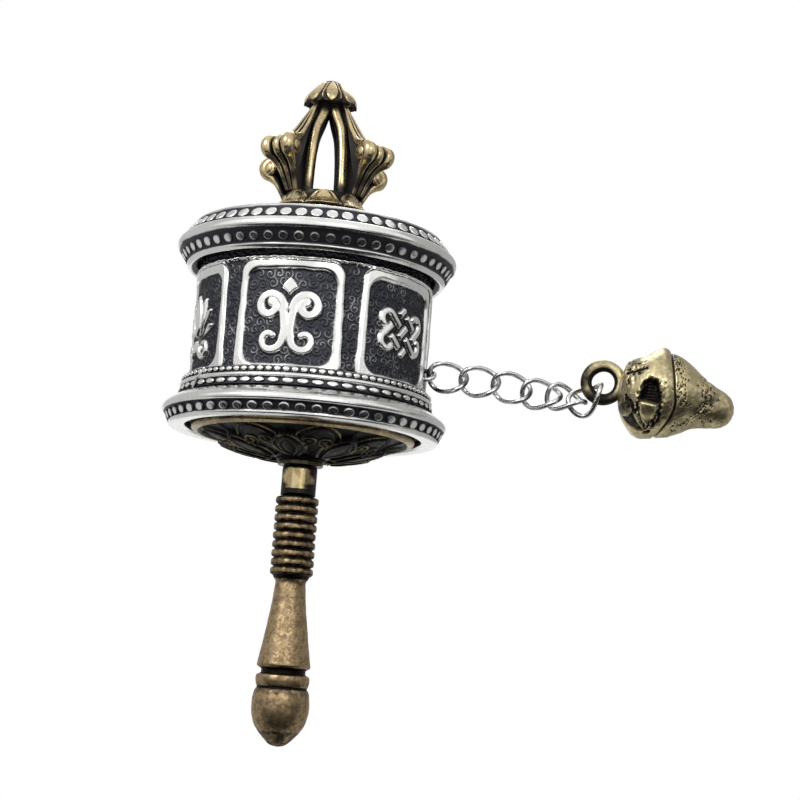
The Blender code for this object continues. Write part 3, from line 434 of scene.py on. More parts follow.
# lid: domed dark top, thin ring, beaded upper bevel, bright rim, beaded lower bevel and a rounded lip; the
# corners run from the hub over the rim to the skirt and back under the dome
lid = dict(
    skirt=12.8, bore=2.25, thick=1.4, steps=224, step=0.2, waver=0.012,
    upper=dict(count=56, radius=14.0, height=18.78, lean=38, along=0.65, across=0.64, out=0.14, rim=0.05,
        patinaAndShade=0.75, filmAndShade=0.03),
    # the lower beads face down: their high rim and film are painted shade
    lower=dict(count=56, radius=14.22, height=16.28, lean=-33, along=0.58, across=0.55, out=0.11, rim=0.66,
        patinaAndShade=0.8, filmAndShade=0.16))
lidHigh = nodeBox("lid")[1]
skirt, bore, edge, hub = lid["skirt"], lid["bore"], lidHigh[0], lidHigh[2] - rimPlane
under = hub - lid["thick"]
corners = [
    (bore, hub, 0, 0.8), (5.6, hub, 0.3, 0.85), (9.5, hub - 0.45, 1.5, 0.9), (13.02, 19.8, 0.2, 1),
    (13.1, 19.9, 0.05, 0.6), (13.3, 19.92, 0.1, 0), (13.46, 19.7, 0.1, 0), (13.44, 19.5, 0.04, 0.8),
    (13.52, 19.36, 0.03, 1), (14.42, 18.2, 0.03, 1), (14.55, 18.24, 0.04, 0.6), (14.8, 18.06, 0.16, 0),
    (edge, 17.72, 0.22, 0), (edge, 17.36, 0.18, 0), (14.9, 17.1, 0.08, 0.25), (14.76, 17.04, 0.05, 0.9),
    (14.62, 16.98, 0.04, 1), (13.84, 15.66, 0.04, 1), (13.92, 15.54, 0.04, 0.5), (13.86, 15.38, 0.12, 0.05),
    (13.52, 15.06, 0.16, 0.05), (13.3, 15.1, 0.1, 0.6), (13.15, 15.4, 0.05, 1), (skirt, 15.5, 0, 1),
    (skirt, 16.72, 0, 1), (11.5, 16.72, 0, 1), (11.5, 18.3, 0, 1), (5.5, under, 0.3, 1),
    (bore, under, 0, 1)]
cover = turnedShape(corners, lid, rimPlane, relief=workedSkin(lid["waver"], 12))
shapes = [cover, beadRing(lid["upper"]), beadRing(lid["lower"])]
putPiece("beaded_lid", shapes, silver, "drum", ["lid"])

# drum wall: six framed panels over a ground of small curls, with a raised ornament in each window
wall = dict(
    count=6, low=1.0, high=16.55, inner=11.5, depth=0.45, frameAngle=51.4, frameFlare=0.35, frameLow=2.3,
    frameHigh=14.5, frameCorner=1.4, bandLow=14.16, bandHigh=14.86, windowAngle=42.3, windowLow=3.72,
    windowHigh=13.15, windowCorner=1.35, bevel=0.48, columns=176, rows=200, curlGap=1.12, curlPitch=0.38,
    curlLine=0.1, curlRise=0.12, curlShine=0.25, ground=0.93, ornamentRise=0.42, ornamentBevel=0.3,
    edgeShake=0.03, bandRagged=0.1, uneven=0.014)
wallRadius = nodeBox("drum_shell")[1][0]


# distance to a rounded rectangle, less than zero inside it
def roundedBox(x, y, halfWidth, halfHeight, corner):
    dx, dy = np.abs(x) - halfWidth + corner, np.abs(y) - halfHeight + corner
    outside = np.hypot(np.maximum(dx, 0.0), np.maximum(dy, 0.0))
    return outside + np.minimum(np.maximum(dx, dy), 0.0) - corner


# distance to a stroke: the least distance to points spread evenly along it, less its half width there
def stroke(x, y, path, halfWidth, count=110):
    path = np.asarray(path, dtype=float)
    length = runLength(path)
    places = np.linspace(0.0, length[-1], count)
    halfWidth = np.interp(places, length, np.broadcast_to(halfWidth, len(path)))
    across, tall = (np.interp(places, length, line) for line in path.T)
    return (np.hypot(x[..., None] - across, y[..., None] - tall) - halfWidth).min(axis=-1)


# distance to a petal from its base to its tip: a leaf whose half width is a sine bulge, bowed to one side
def petal(x, y, base, tip, halfWidth, bow=0.0):
    base, tip = np.array(base), np.array(tip)
    length = np.linalg.norm(tip - base)
    way = (tip - base) / length
    along = ((x - base[0]) * way[0] + (y - base[1]) * way[1]) / length
    share = np.clip(along, 0.0, 1.0)
    across = -(x - base[0]) * way[1] + (y - base[1]) * way[0] - bow * np.sin(np.pi * share)
    off = np.abs(across) - halfWidth * np.sin(np.pi * share ** 0.85) ** 0.8
    past = np.maximum(np.maximum(-along, along - 1.0), 0.0) * length
    return np.hypot(np.maximum(off, 0.0), past) + np.minimum(off, 0.0) * (past == 0)


# points of a spiral about a centre: angle and reach both grow evenly from their first to their last value
def spiral(centre, degrees, reach, count=60):
    swing, size = np.radians(np.linspace(*degrees, count)), np.linspace(*reach, count)
    return np.stack([centre[0] + size * np.cos(swing), centre[1] + size * np.sin(swing)], axis=-1)


# a spiral line about a point: its arms lie one pitch apart, and it fades between two distances
def spiralLine(x, y, pitch, halfWidth, fade, hand=1.0, start=0.0):
    reach = np.hypot(x, y)
    arm = reach / pitch - hand * np.arctan2(y, x) / fullTurn - start
    return bell(np.abs(arm - np.round(arm)) * pitch, halfWidth) * (1.0 - ease(reach, *fade))


# distance to a form in front and one behind it, which is cut back to leave a gap round the one in front
def behind(front, back, gap):
    return np.minimum(front, np.maximum(back, gap - front))


# lotus flower: layered petals that fan out over two curling leaves, each layer behind the one before
def lotusOrnament(x, y):
    field = petal(x, y, (0, -1.5), (0, 3.2), 1.05)
    layers = [
        ((0.35, -1.5), (2.2, 2.55), 0.92, 0.22), ((0.55, -1.6), (3.5, 1.2), 0.84, 0.3),
        ((0.5, -1.8), (3.85, -0.5), 0.66, 0.28)]
    for layer in layers:
        field = behind(field, petal(np.abs(x), y, *layer), 0.24)
    leaf = np.vstack([[(0.0, -2.2), (0.5, -2.6)], spiral((2.0, -2.75), (185, 560), (1.1, 0.3))])
    return behind(field, stroke(np.abs(x), y, leaf, np.linspace(0.46, 0.26, len(leaf))), 0.24)


# cloud scroll: two volutes that run down into a stem with two curled leaves, under a bud
def cloudOrnament(x, y):
    volute = np.vstack([spiral((1.98, 0.95), (-250, 200), (0.45, 1.5), 90), [(0.40, -0.5), (0.30, -1.4)]])
    leaf = np.vstack([[(0.28, -1.3), (0.36, -2.0)], spiral((1.75, -2.45), (180, 480), (1.3, 0.5), 80)])
    field = stroke(np.abs(x), y, volute, np.linspace(0.60, 0.56, len(volute)))
    field = np.minimum(field, stroke(np.abs(x), y, leaf, np.linspace(0.56, 0.46, len(leaf))))
    return behind(field, petal(x, y, (0, 1.6), (0, 4.05), 1.0), 0.2)


# endless knot: diagonal bars that cross over and under in turn, with round turns at their ends
def knotOrnament(x, y):
    gap, reach, half = 1.62, 2.4, 0.46
    p, q = (x + y) / math.sqrt(2), (x - y) / math.sqrt(2)
    t = np.linspace(-np.pi / 2, np.pi / 2, 24)
    field = np.full(x.shape, np.inf)
    for first, second, turnsOver in ((p, q, 1), (q, p, 0)):
        for i in (-1, 0, 1):
            ends = (-reach if i < 1 else -gap, reach if i > -1 else gap)
            past = np.maximum(np.maximum(ends[0] - first, first - ends[1]), 0.0)
            bar = np.hypot(past, second - i * gap) - half
            for j in (-1, 0, 1):
                if (i + j) % 2 == turnsOver:
                    over = (np.abs(first - j * gap) - half - 0.16, np.abs(second - i * gap) - 2 * half)
                    bar = np.maximum(bar, -np.maximum(*over))
            field = np.minimum(field, bar)
        for side in (1, -1):
            loop = [side * (reach + 0.5 * gap * np.cos(t)), gap * (0.5 * side + 0.5 * np.sin(t))]
            field = np.minimum(field, stroke(first, second, np.stack(loop, axis=-1), half))
    return field


ornaments = (lotusOrnament, cloudOrnament, knotOrnament)


# ground: each point takes the spiral line of the nearest curl centre; these stand in shaken, shifted rows
def curlGround(run, height):
    draw = np.random.default_rng(5)
    gap, rowShare, shake, girth = wall["curlGap"], 0.87, 0.12, fullTurn * wallRadius
    around = int(round(girth / gap))
    rows = int((wall["high"] - wall["low"]) / (rowShare * gap)) + 1
    column, row = np.meshgrid(np.arange(around), np.arange(rows))
    x = (column + 0.5 * (row % 2)) * girth / around + draw.normal(0, shake, column.shape)
    y = wall["low"] + row * rowShare * gap + draw.normal(0, shake, column.shape)
    hand, start = draw.choice([-1.0, 1.0], column.shape), draw.uniform(0.0, 1.0, column.shape)
    middle = run.mean()
    x = (x - middle + girth / 2) % girth - girth / 2 + middle
    close = np.abs(x - middle) < np.ptp(run) / 2 + 2 * gap
    x, y, hand, start = x[close], y[close], hand[close], start[close]
    dx, dy = run[..., None] - x, height[..., None] - y
    nearest = np.argmin(dx * dx + dy * dy, axis=-1)
    dx, dy = (np.take_along_axis(way, nearest[..., None], axis=-1)[..., 0] for way in (dx, dy))
    fade = (0.42 * gap, 0.6 * gap)
    return spiralLine(dx, dy, wall["curlPitch"], wall["curlLine"], fade, hand[nearest], start[nearest])


# a rounded bar: a quarter sine from its edge up to its full height one bevel inside
def roundedBar(distance, bevel):
    return np.sin(np.pi / 2 * np.clip(-distance / bevel, 0.0, 1.0))


# one panel: its height is the highest of frame, ornament and curls; back and sides close the sector
def panelShape(number):
    facing, half = fullTurn * (number + 0.5) / wall["count"], fullTurn / wall["count"] / 2
    columns, bandHigh = wall["columns"], wall["bandHigh"]
    angle = np.linspace(-half, half, columns)
    x, y = np.meshgrid(angle * wallRadius, np.linspace(wall["low"], wall["high"], wall["rows"]))
    points = np.stack([x, y, np.full_like(x, 7.0 * number)], axis=-1)  # its own part of the ripples
    shake = wall["edgeShake"] * ripple(points, 2.2, 21)
    angles = (wall["frameAngle"], wall["windowAngle"])
    frameHalf, windowHalf = (math.radians(degrees / 2) * wallRadius for degrees in angles)
    middle, tall = (wall["frameLow"] + wall["frameHigh"]) / 2, wall["frameHigh"] - wall["frameLow"]
    flare = wall["frameFlare"] * np.clip((wall["frameHigh"] - y) / tall, 0.0, 1.0)
    apart = np.maximum(np.abs(x) - flare, 0.0)
    outer = roundedBox(apart, y - middle, frameHalf, tall / 2, wall["frameCorner"])
    ragged = wall["bandRagged"] * ripple(points, 0.8, 22)
    outer = np.minimum(outer, np.maximum(wall["bandLow"] - y + ragged, y - bandHigh))
    middle, tall = (wall["windowLow"] + wall["windowHigh"]) / 2, wall["windowHigh"] - wall["windowLow"]
    window = roundedBox(x, y - middle, windowHalf, tall / 2, wall["windowCorner"])
    raised = roundedBar(np.maximum(outer, -window) + shake, wall["bevel"])
    ornament = ornaments[number % len(ornaments)](x, y - middle) + 0.5 * shake
    design = roundedBar(ornament, wall["ornamentBevel"]) * (window < -0.1)
    curls = curlGround(x + facing * wallRadius, y)
    relief = np.maximum(wall["depth"] * raised, wall["ornamentRise"] * design)
    relief = np.maximum(relief, wall["curlRise"] * curls * (relief < 0.2))
    relief += wall["uneven"] * ripple(points, 3.0, 23) * np.maximum(raised, design)
    shine = np.maximum(ease(raised, 0.25, 0.65), ease(design, 0.25, 0.7))
    shine = np.maximum(shine, wall["curlShine"] * curls * (y < bandHigh))
    oxide = np.where(y < bandHigh, wall["ground"], 1.0) * (1.0 - shine)
    ends = np.ones((2, columns))
    radius = np.vstack([wallRadius - wall["depth"] + relief, wall["inner"] * ends])
    height = np.vstack([y, np.array([[wall["high"]], [wall["low"]]]) * ends])
    grid = aroundAxis(radius, facing + angle, height + rimPlane)
    flat, faces, marks = gridShape(grid, np.vstack([oxide, ends]), wrapRows=True, wrapCols=False)
    index = np.arange(len(flat)).reshape(radius.shape)
    return flat, [*faces, index[None, :, 0], index[None, ::-1, -1]], marks


for number in range(wall["count"]):
    putPiece(f"drum_panel_{number + 1}", [panelShape(number)], silver, "drum", ["drum_shell"])

# base plate: a dark dome with two rings of lotus petals and a brass rim; a curl's place is (out from the
# petal's middle line, radius)
plate = dict(
    petals=8, inner=3.0, outer=10.7, rim=11.9, steps=400, step=0.11, outline=0.3, swell=0.42,
    frontRise=0.35, bore=2.2, edge=12.38, curlPlace=(1.0, 8.0), curlPitch=0.55, curlLine=0.13,
    curlRise=0.22, sink=0.3, shine=0.62)


# petal edges lie where the half width at a radius meets the angle; a ridge follows them, the inside swells
def lotusRelief(angle, radius):
    share = np.clip((radius - plate["inner"]) / (plate["outer"] - plate["inner"]), 0.0, 1.0)
    cell = angle * plate["petals"] / fullTurn
    arc = fullTurn * radius / plate["petals"]
    total, edge = np.zeros_like(radius), np.zeros_like(radius)
    for offset, scale, rise in ((0.0, 1.0, 0.0), (0.5, 0.8, plate["frontRise"])):
        off = np.abs((cell + offset) % 1.0 - 0.5)
        halfWidth = 0.49 * np.sin(np.pi * np.clip(share / scale, 0, 1) ** 0.8) ** 0.55 * scale
        inside = (halfWidth - off) * arc
        ridge = bell(inside - 0.22, 0.2) + 0.7 * bell(inside - 0.95, 0.16)
        shown = plate["outline"] * ridge + plate["swell"] * ease(inside, -0.1, 1.6)
        shown = shown + rise * ease(inside, -0.05, 0.1)
        edge = np.where(shown > total, ridge, edge)
        total = np.maximum(total, shown)
    x, y = np.abs((cell % 1.0 - 0.5) * arc) - plate["curlPlace"][0], radius - plate["curlPlace"][1]
    curl = spiralLine(x, y, plate["curlPitch"], plate["curlLine"], (0.9, 1.2))
    return total + plate["curlRise"] * curl, np.maximum(edge, curl)


# the petals stand out downwards from the lower face between hub and rim
def plateRelief(angle, radius, height):
    face = ease(radius, 2.9, 3.6) * (1 - ease(radius, rim - 1.1, rim - 0.85)) * (height < rimPlane - 1.6)
    form, edge = lotusRelief(angle, radius)
    return 0.0, face * (plate["sink"] - form), -plate["shine"] * face * edge


bore, edge, rim, low = plate["bore"], plate["edge"], plate["rim"], nodeBox("base_plate")[0][2] - rimPlane
corners = [
    (bore, 0.18, 0, 1), (edge, 0.18, 0, 1), (edge, -1.18, 0.05, 1), (rim, -1.22, 0.05, 1),
    (rim, -1.9, 0.12, 0.4), (rim - 0.12, -2.12, 0.14, -0.2), (rim - 0.62, -2.34, 0.15, -0.2),
    (rim - 0.8, -2.2, 0.06, 0.9), (rim - 0.95, -2.18, 0.1, 1), (7, low + 1.05, 2, 1),
    (2.9, low + 0.45, 0.3, 1), (2.62, low + 0.4, 0.1, 1), (2.58, low + 0.05, 0.1, 0.7),
    (2.45, low, 0.05, 0.7), (bore, low, 0, 1)]
disc = turnedShape(corners, plate, rimPlane, relief=plateRelief)
putPiece("lotus_base_plate", [disc], plateBrass, "drum", ["base_plate"])

# handle: nine rings, a tapering grip, a groove, a collar and an acorn end, from the top ring to the tip
handle = dict(
    rings=9, pitch=0.93, ringRadius=2.29, groove=0.34, neck=0.6, gripTop=1.57, gripEnd=2.8, gripLength=8.8,
    grooveRadius=2.32, collarRadius=2.82, pommelRadius=2.98, steps=112, step=0.11, hammer=0.012)
handleLow, handleHigh = nodeBox("handle_grip")


# hammered casting: dents from a coarse and a fine ripple, darker where they stand out
def hammered(angle, radius, height):
    points = aroundAxis(radius, angle, height)
    dents = ripple(points, 1.5, 31) + 0.6 * ripple(points, 0.7, 32)
    return handle["hammer"] * dents * ease(radius, 0.2, 1.0), 0.0, 0.05 * dents


top, tip, ring = handleHigh[2], handleLow[2], handle["ringRadius"]
deep, low = ring - handle["groove"], top - handle["rings"] * handle["pitch"]
grip = low - handle["neck"]
end = grip - handle["gripLength"]
gripTop, gripEnd, groove = handle["gripTop"], handle["gripEnd"], handle["grooveRadius"]
collar, pommel = handle["collarRadius"], handle["pommelRadius"]
corners = [(0, top - 0.05, 0, 1), (1.35, top - 0.05, 0, 1), (1.9, top, 0.05, 0.9)]
for i in range(handle["rings"]):
    high = top - i * handle["pitch"]
    corners += [
        (deep, high - 0.03, 0.03, 1), (ring - 0.05, high - 0.16, 0.12, 0.58),
        (ring, high - 0.46, 0.2, 0.38), (ring - 0.05, high - 0.76, 0.12, 0.68), (deep, high - 0.9, 0.03, 1)]
corners += [
    (gripTop + 0.28, low - 0.2, 0.2, 0.9), (gripTop, grip, 0.6, 0.35),
    (gripTop + 0.22, grip - 2.4, 2, 0.05), (gripEnd - 0.42, grip - 6.2, 2, 0),
    (gripEnd, end + 0.12, 0.2, 0.05), (gripEnd - 0.06, end - 0.06, 0.08, 0.4), (groove, end - 0.3, 0.1, 1),
    (groove, end - 0.72, 0.1, 1), (collar - 0.05, end - 0.94, 0.1, 0.3), (collar, end - 1.4, 0.3, 0),
    (collar - 0.1, end - 1.95, 0.1, 0.35), (2.58, end - 2.2, 0.15, 0.95), (2.86, end - 2.55, 0.25, 0.5),
    # from the pommel's widest point down to the tip the oxide rises: painted shade on its underside
    (pommel + 0.04, end - 3.6, 0.9, 0.05), (pommel, end - 4.9, 0.9, 0), (2.62, end - 6.1, 0.9, 0.3),
    (1.75, end - 7.2, 0.8, 0.58), (0.8, tip + 0.12, 0.6, 0.7), (0, tip, 0, 0.75)]
turned = turnedShape(corners, handle, closed=False, relief=hammered)
putPiece("turned_handle", [turned], handleBronze, "handle", ["handle_grip"])

# spindle: thin spindle, bright shaft with dark ends between handle and drum, and a tang out of sight
shaft = dict(radius=1.85, spindle=1.2, tang=1.3, steps=96, step=0.2, front=-88.0)


# painted highlight: the front of the shaft stays bright, and oxide grows as painted shade with the angle away
# from it
def paintedFrontHighlight(angle, radius, height):
    off = (angle - np.radians(shaft["front"]) + np.pi) % fullTurn - np.pi
    return 0.0, 0.0, 0.6 * ease(np.abs(off), 0.25, 1.15) * (radius > 1.6)


low, high = (corner[2] for corner in nodeBox("spindle"))
shoulder, washer = handleHigh[2] + 0.1, nodeBox("lower_washer")[0][2] - 0.1
thin, thick, tang = shaft["spindle"], shaft["radius"], shaft["tang"]
corners = [
    (0, high, 0, 0.3), (thin, high, 0.1, 0.3), (thin, washer, 0, 1), (thick, washer, 0.05, 1),
    (thick, washer - 0.55, 0.1, 0.25), (thick, washer - 1.5, 0.3, 0), (thick, washer - 2.25, 0.2, 0.35),
    (thick, washer - 2.6, 0.1, 0.95), (thick, shoulder, 0.05, 1), (tang, shoulder, 0, 1),
    (tang, low, 0.1, 0.8), (0, low, 0, 0.8)]
rod = turnedShape(corners, shaft, closed=False, relief=paintedFrontHighlight)
putPiece("bright_shaft", [rod], shaftBrass, "handle", ["spindle"])

# finial: lotus foot, four ribbed prongs with a three-lobed curled leaf each, and a petalled knob where they
# meet; the paths are (distance from the axis, height over the foot), the eye is (distance, height, radius)
finial = dict(
    turn=13.2, prongs=4, footRadius=5.45, topRadius=4.1, footHeight=2.3, footPetals=8,
    prong=((3.2, 1.5), (3.15, 3.8), (3.02, 6.0), (2.75, 8.0), (2.38, 9.5), (1.62, 10.9), (0.95, 12.3)),
    prongWidth=2.5, prongTipWidth=1.9, prongDepth=1.34, prongPoints=80, prongSides=56,
    leaf=((1.9, 12.8), (2.55, 11.75), (3.45, 10.25), (4.4, 8.75), (5.3, 7.7), (6.3, 7.12), (7.1, 6.85),
        (7.6, 6.3), (7.45, 5.7), (6.85, 5.2), (6.2, 4.5), (5.75, 3.7), (5.35, 2.9), (4.95, 2.0)),
    leafRadii=(0.15, 0.17, 0.2, 0.24, 0.33, 0.48, 0.56, 0.58, 0.56, 0.48, 0.38, 0.31, 0.27, 0.25),
    leafHead=7, leafSpread=1.45, leafPoints=120, sideLobe=1.35, lobeSides=18, webRungs=30,
    eye=(6.8, 6.15, 0.95), eyeFlat=0.62, eyeSteps=24, knobHeight=3.0, knobPetals=8,
    footGrid=dict(step=0.09, steps=256), knobGrid=dict(step=0.06, steps=192),
    crownGrid=dict(step=0.15, steps=64))
finialLow, finialHigh = (corner[2] for corner in nodeBox("finial"))


# lotus foot: a flared turned ring whose outer face carries petals, each swelling inside dark lines
def lotusFoot():
    low, tall = finialLow, finial["footHeight"]
    edge, top = finial["footRadius"], finial["topRadius"]
    corners = [
        (0, low + tall - 0.15, 0, 1), (2.6, low + tall - 0.15, 0.3, 1),
        (top - 0.4, low + tall - 0.05, 0.15, 0.2), (top, low + tall - 0.12, 0.12, 0),
        (top + 0.02, low + 1.75, 0.2, 0.3), (top + 0.35, low + 1.15, 0.4, 0.1),
        (edge - 0.3, low + 0.66, 0.3, 0.05), (edge, low + 0.42, 0.1, 0.2),
        (edge - 0.05, low + 0.2, 0.08, 0.6), (edge - 0.6, low, 0.05, 1), (0, low, 0, 1)]

    def petals(angle, radius, height):
        cell = (angle * finial["footPetals"] / fullTurn) % 1.0 - 0.5
        cell = np.where(cell > 0, cell - 0.5, cell + 0.5)
        share = np.clip((height - low) / tall, 0.0, 1.0)
        face = ease(radius, top - 0.3, top + 0.05) * ease(share, 0.08, 0.2)
        halfWidth = 0.49 * np.sqrt(np.clip(1.0 - (share / 0.95) ** 4, 0.0, 1.0))
        inside = (halfWidth - np.abs(cell)) * fullTurn * radius / finial["footPetals"]
        line = bell(inside + 0.02, 0.13) + 0.75 * bell(inside - 0.52, 0.12)
        swell = 0.30 * ease(inside, 0.0, 0.25) - 0.14 * bell(inside - 0.52, 0.14)
        return face * (swell - 0.12), 0.0, face * (1.1 * line + 1.1 * (inside < 0) - 0.3)

    return turnedShape(corners, finial["footGrid"], closed=False, relief=petals)


# a path through (out, height) stops, evenly spread by length, in the plane of +X and +Z over the foot
def limbPath(stops, count):
    stops = np.array(stops)
    length = runLength(stops)
    places = np.linspace(0.0, length[-1], count)
    out, up = (curveThrough(length, line, places) for line in stops.T)
    return np.stack([out, np.zeros(count), up + finialLow], axis=-1), length, places


# one prong: an oval bar carried along its path; its outer corners are bright, painted shade darkens its
# inside and the middle of its outer face, and its ends are black
def prongShape():
    path, length, places = limbPath(finial["prong"], finial["prongPoints"])
    t = places / length[-1]
    ahead = np.gradient(path, axis=0)
    ahead /= np.linalg.norm(ahead, axis=1, keepdims=True)
    normal = np.stack([ahead[:, 2], np.zeros_like(t), -ahead[:, 0]], axis=-1)
    around = circleSteps(finial["prongSides"])
    across, depth = (np.sign(way) * np.abs(way) ** 0.8 for way in (np.cos(around), np.sin(around)))
    width = 0.5 * (finial["prongWidth"] + (finial["prongTipWidth"] - finial["prongWidth"]) * t ** 2)
    points = path[:, None] + (width[:, None] * across)[..., None] * np.array([0.0, 1.0, 0.0])
    points = points + (0.5 * finial["prongDepth"] * depth)[None, :, None] * normal[:, None]
    ends = ease(t, 0.86, 0.97)[:, None] + (1.0 - ease(t, 0.02, 0.3))[:, None]
    paintedProngShade = np.maximum(1.0 - ease(depth, -0.25, 0.25), 0.85 - 0.85 * ease(np.abs(across), 0.40, 0.70))
    return gridShape(points, np.maximum(paintedProngShade[None], 0.75 * ends), poles=(path[0], path[-1]))


# share of the spread between a leaf's lobes: none near the axis, all at the heads, as a power of the way out
def lobeShare(out, power):
    return (np.clip(out - 2.0, 0.0, None) / (finial["leaf"][finial["leafHead"]][0] - 2.0)) ** power


# one lobe: a tube from under the knob out to the head, round it and down the tail; painted shade darkens its
# back except at the head, and it is dark where it meets the next lobe
def lobeShape(side):
    path, length, places = limbPath(finial["leaf"], finial["leafPoints"])
    headPlace, sides = length[finial["leafHead"]], finial["lobeSides"]
    head = bell(places - headPlace, 1.5)
    radii = curveThrough(length, np.array(finial["leafRadii"]), places)
    radii = radii * (1.0 + (finial["sideLobe"] - 1.0) * abs(side) * head)
    path[:, 1] = side * finial["leafSpread"] * lobeShare(path[:, 0], np.where(places < headPlace, 0.8, 1.5))
    points, faces, oxide = tubeShape(path, radii, np.array([0.0, 1.0, 0.0]), sides=sides)
    turn = circleSteps(sides)
    # painted shade: the back of the tube, turned in towards the prong, is dark except at the head
    back = np.outer(1.0 - 0.9 * head, 1.0 - ease(np.sin(turn), -0.8, 0.1))
    between = ease(-np.cos(turn) * side if side else np.abs(np.cos(turn)), 0.58, 0.95)
    tail = 0.55 * ease(places, length[-6], length[-2])[:, None]
    oxide[:back.size] = np.maximum(np.maximum(back, between), tail).ravel()
    oxide[back.size:] = 1.0
    return points, faces, oxide


# the rolled end of a head: a flat boss with a dark ring round a small ball
def eyeShape(side):
    out, up, size = finial["eye"]
    flat, steps, margin = finial["eyeFlat"], finial["eyeSteps"], 0.08
    polar = np.linspace(margin, np.pi - margin, steps)
    polar, turn = np.meshgrid(polar, circleSteps(steps), indexing="ij")
    wide = np.sin(polar)
    ring = bell(wide - 0.62, 0.09)
    bulge = (flat - 0.14 * ring) * np.cos(polar)
    form = np.stack([wide * np.cos(turn), bulge, wide * np.sin(turn)], axis=-1) * size
    centre = np.array([out, side * (finial["leafSpread"] + 0.12), finialLow + up])
    ends = centre + np.array([[0.0, flat * size, 0.0], [0.0, -flat * size, 0.0]])
    return gridShape(form + centre, np.maximum(0.8 * ring, ease(wide, 0.96, 1.0)), poles=ends)


# the web between a leaf's ridges and its tail, black all over as painted shade: rungs from the upper path to
# the lower, widening out
def webShape():
    path, length, places = limbPath(finial["leaf"], finial["leafPoints"])
    head, rungs = finial["leafHead"], finial["webRungs"]
    upper = (np.linspace(0.5 * length[2], length[head - 1], rungs), 0.9, 0.8)
    lower = (np.linspace(length[-1], length[head + 1], rungs), 0.5, 1.5)
    ring = []
    for (spots, wide, power), sign in ((upper, -1.0), (upper, 1.0), (lower, 1.0), (lower, -1.0)):
        out, up = (np.interp(spots, places, path[:, k]) for k in (0, 2))
        across = sign * (0.08 + wide * finial["leafSpread"] * lobeShare(out, power))
        ring.append(np.stack([out, across, up], axis=-1))
    points = np.stack(ring, axis=1)
    return gridShape(points, np.ones(points.shape[:2]), poles=points[[0, -1]].mean(axis=1))


# knob: a dome with broad oval petals and narrow ridges between them, over a dark scalloped skirt
def knobShape():
    tip, tall = finialHigh, finial["knobHeight"]
    corners = [
        (0, 0, 0, 0.9), (0.75, -0.2, 0.5, 0.8), (1.5, -0.88, 0.7, 0.15), (2.25, -1.72, 0.5, 0),
        (2.74, -2.45, 0.3, 0.1), (2.74, -2.95, 0.3, 0.6), (2.3, -3.1, 0.3, 1), (0, -2.95, 0, 1)]

    def flutes(angle, radius, height):
        share = np.clip((tip - height) / tall, 0.0, 1.0)
        cell = np.abs((angle * finial["knobPetals"] / fullTurn + 0.5) % 1.0 - 0.5)
        grow = ease(share, 0.03, 0.35) * (1.0 - ease(share, 0.92, 1.0)) * (radius > 0.15)
        width = 0.39 * np.sqrt(np.clip(1.0 - ((share - 0.57) / 0.42) ** 2, 0.0, 1.0))
        bump = ease(width - cell, -0.02, 0.10)
        ridge = bell(cell - 0.5, 0.07) * grow
        skirt = ease(share, 0.72, 0.95) * (radius > 1.5)
        out = 0.26 * bump + 0.16 * ridge - 0.10 * grow - 0.16 * skirt * (cell * 2) ** 2
        dark = grow * (1.0 - np.maximum(bump, 0.85 * ridge)) * 0.9 + 0.5 * ease(share, 0.95, 1.02)
        return out, -0.25 * skirt * (1 - 2 * cell), dark

    return turnedShape(corners, finial["knobGrid"], tip, closed=False, relief=flutes)


# crown: a collar under the knob that the prongs run into, dark all over as painted shade
def crownShape():
    tip = finialHigh
    corners = [
        (0, tip - 2, 0, 1), (2.2, tip - 2, 0.2, 1), (2.2, tip - 2.7, 0.4, 0.95), (1.5, tip - 3.6, 0.4, 1),
        (0, tip - 3.9, 0, 1)]
    return turnedShape(corners, finial["crownGrid"], closed=False)


limbs = [prongShape(), webShape(), *map(lobeShape, (-1, 0, 1)), *map(eyeShape, (-1, 1))]
shapes = [lotusFoot(), crownShape(), knobShape()]
for i in range(finial["prongs"]):
    turn = turnAbout("Z", 360 / finial["prongs"] * (i + 0.5))
    shapes += [placed(limb, turn) for limb in limbs]
shapes = [placed(shape, turnAbout("Z", finial["turn"])) for shape in shapes]
putPiece("thunderbolt_finial", shapes, finialBrass, "handle", ["finial"])

# chain: curb links of round wire, each leaning as in the photograph, and the staple that holds the first
chain = dict(
    wire=0.52, cadWire=0.46, length=4.04, width=2.94, play=0.14, dips=(6, 3, 14, 4, 9, -46),
    rolls=(0, 0, 0, -15, -41, -33), slacks=(0, 0, 0, 0.2, 0.8, 1.1), points=96, sides=14, stapleWidth=1.5,
    stapleLean=-45, height=5.3)
wire, long, wide = chain["wire"] / 2, chain["length"], chain["width"]
step = long - chain["cadWire"] - chain["play"]

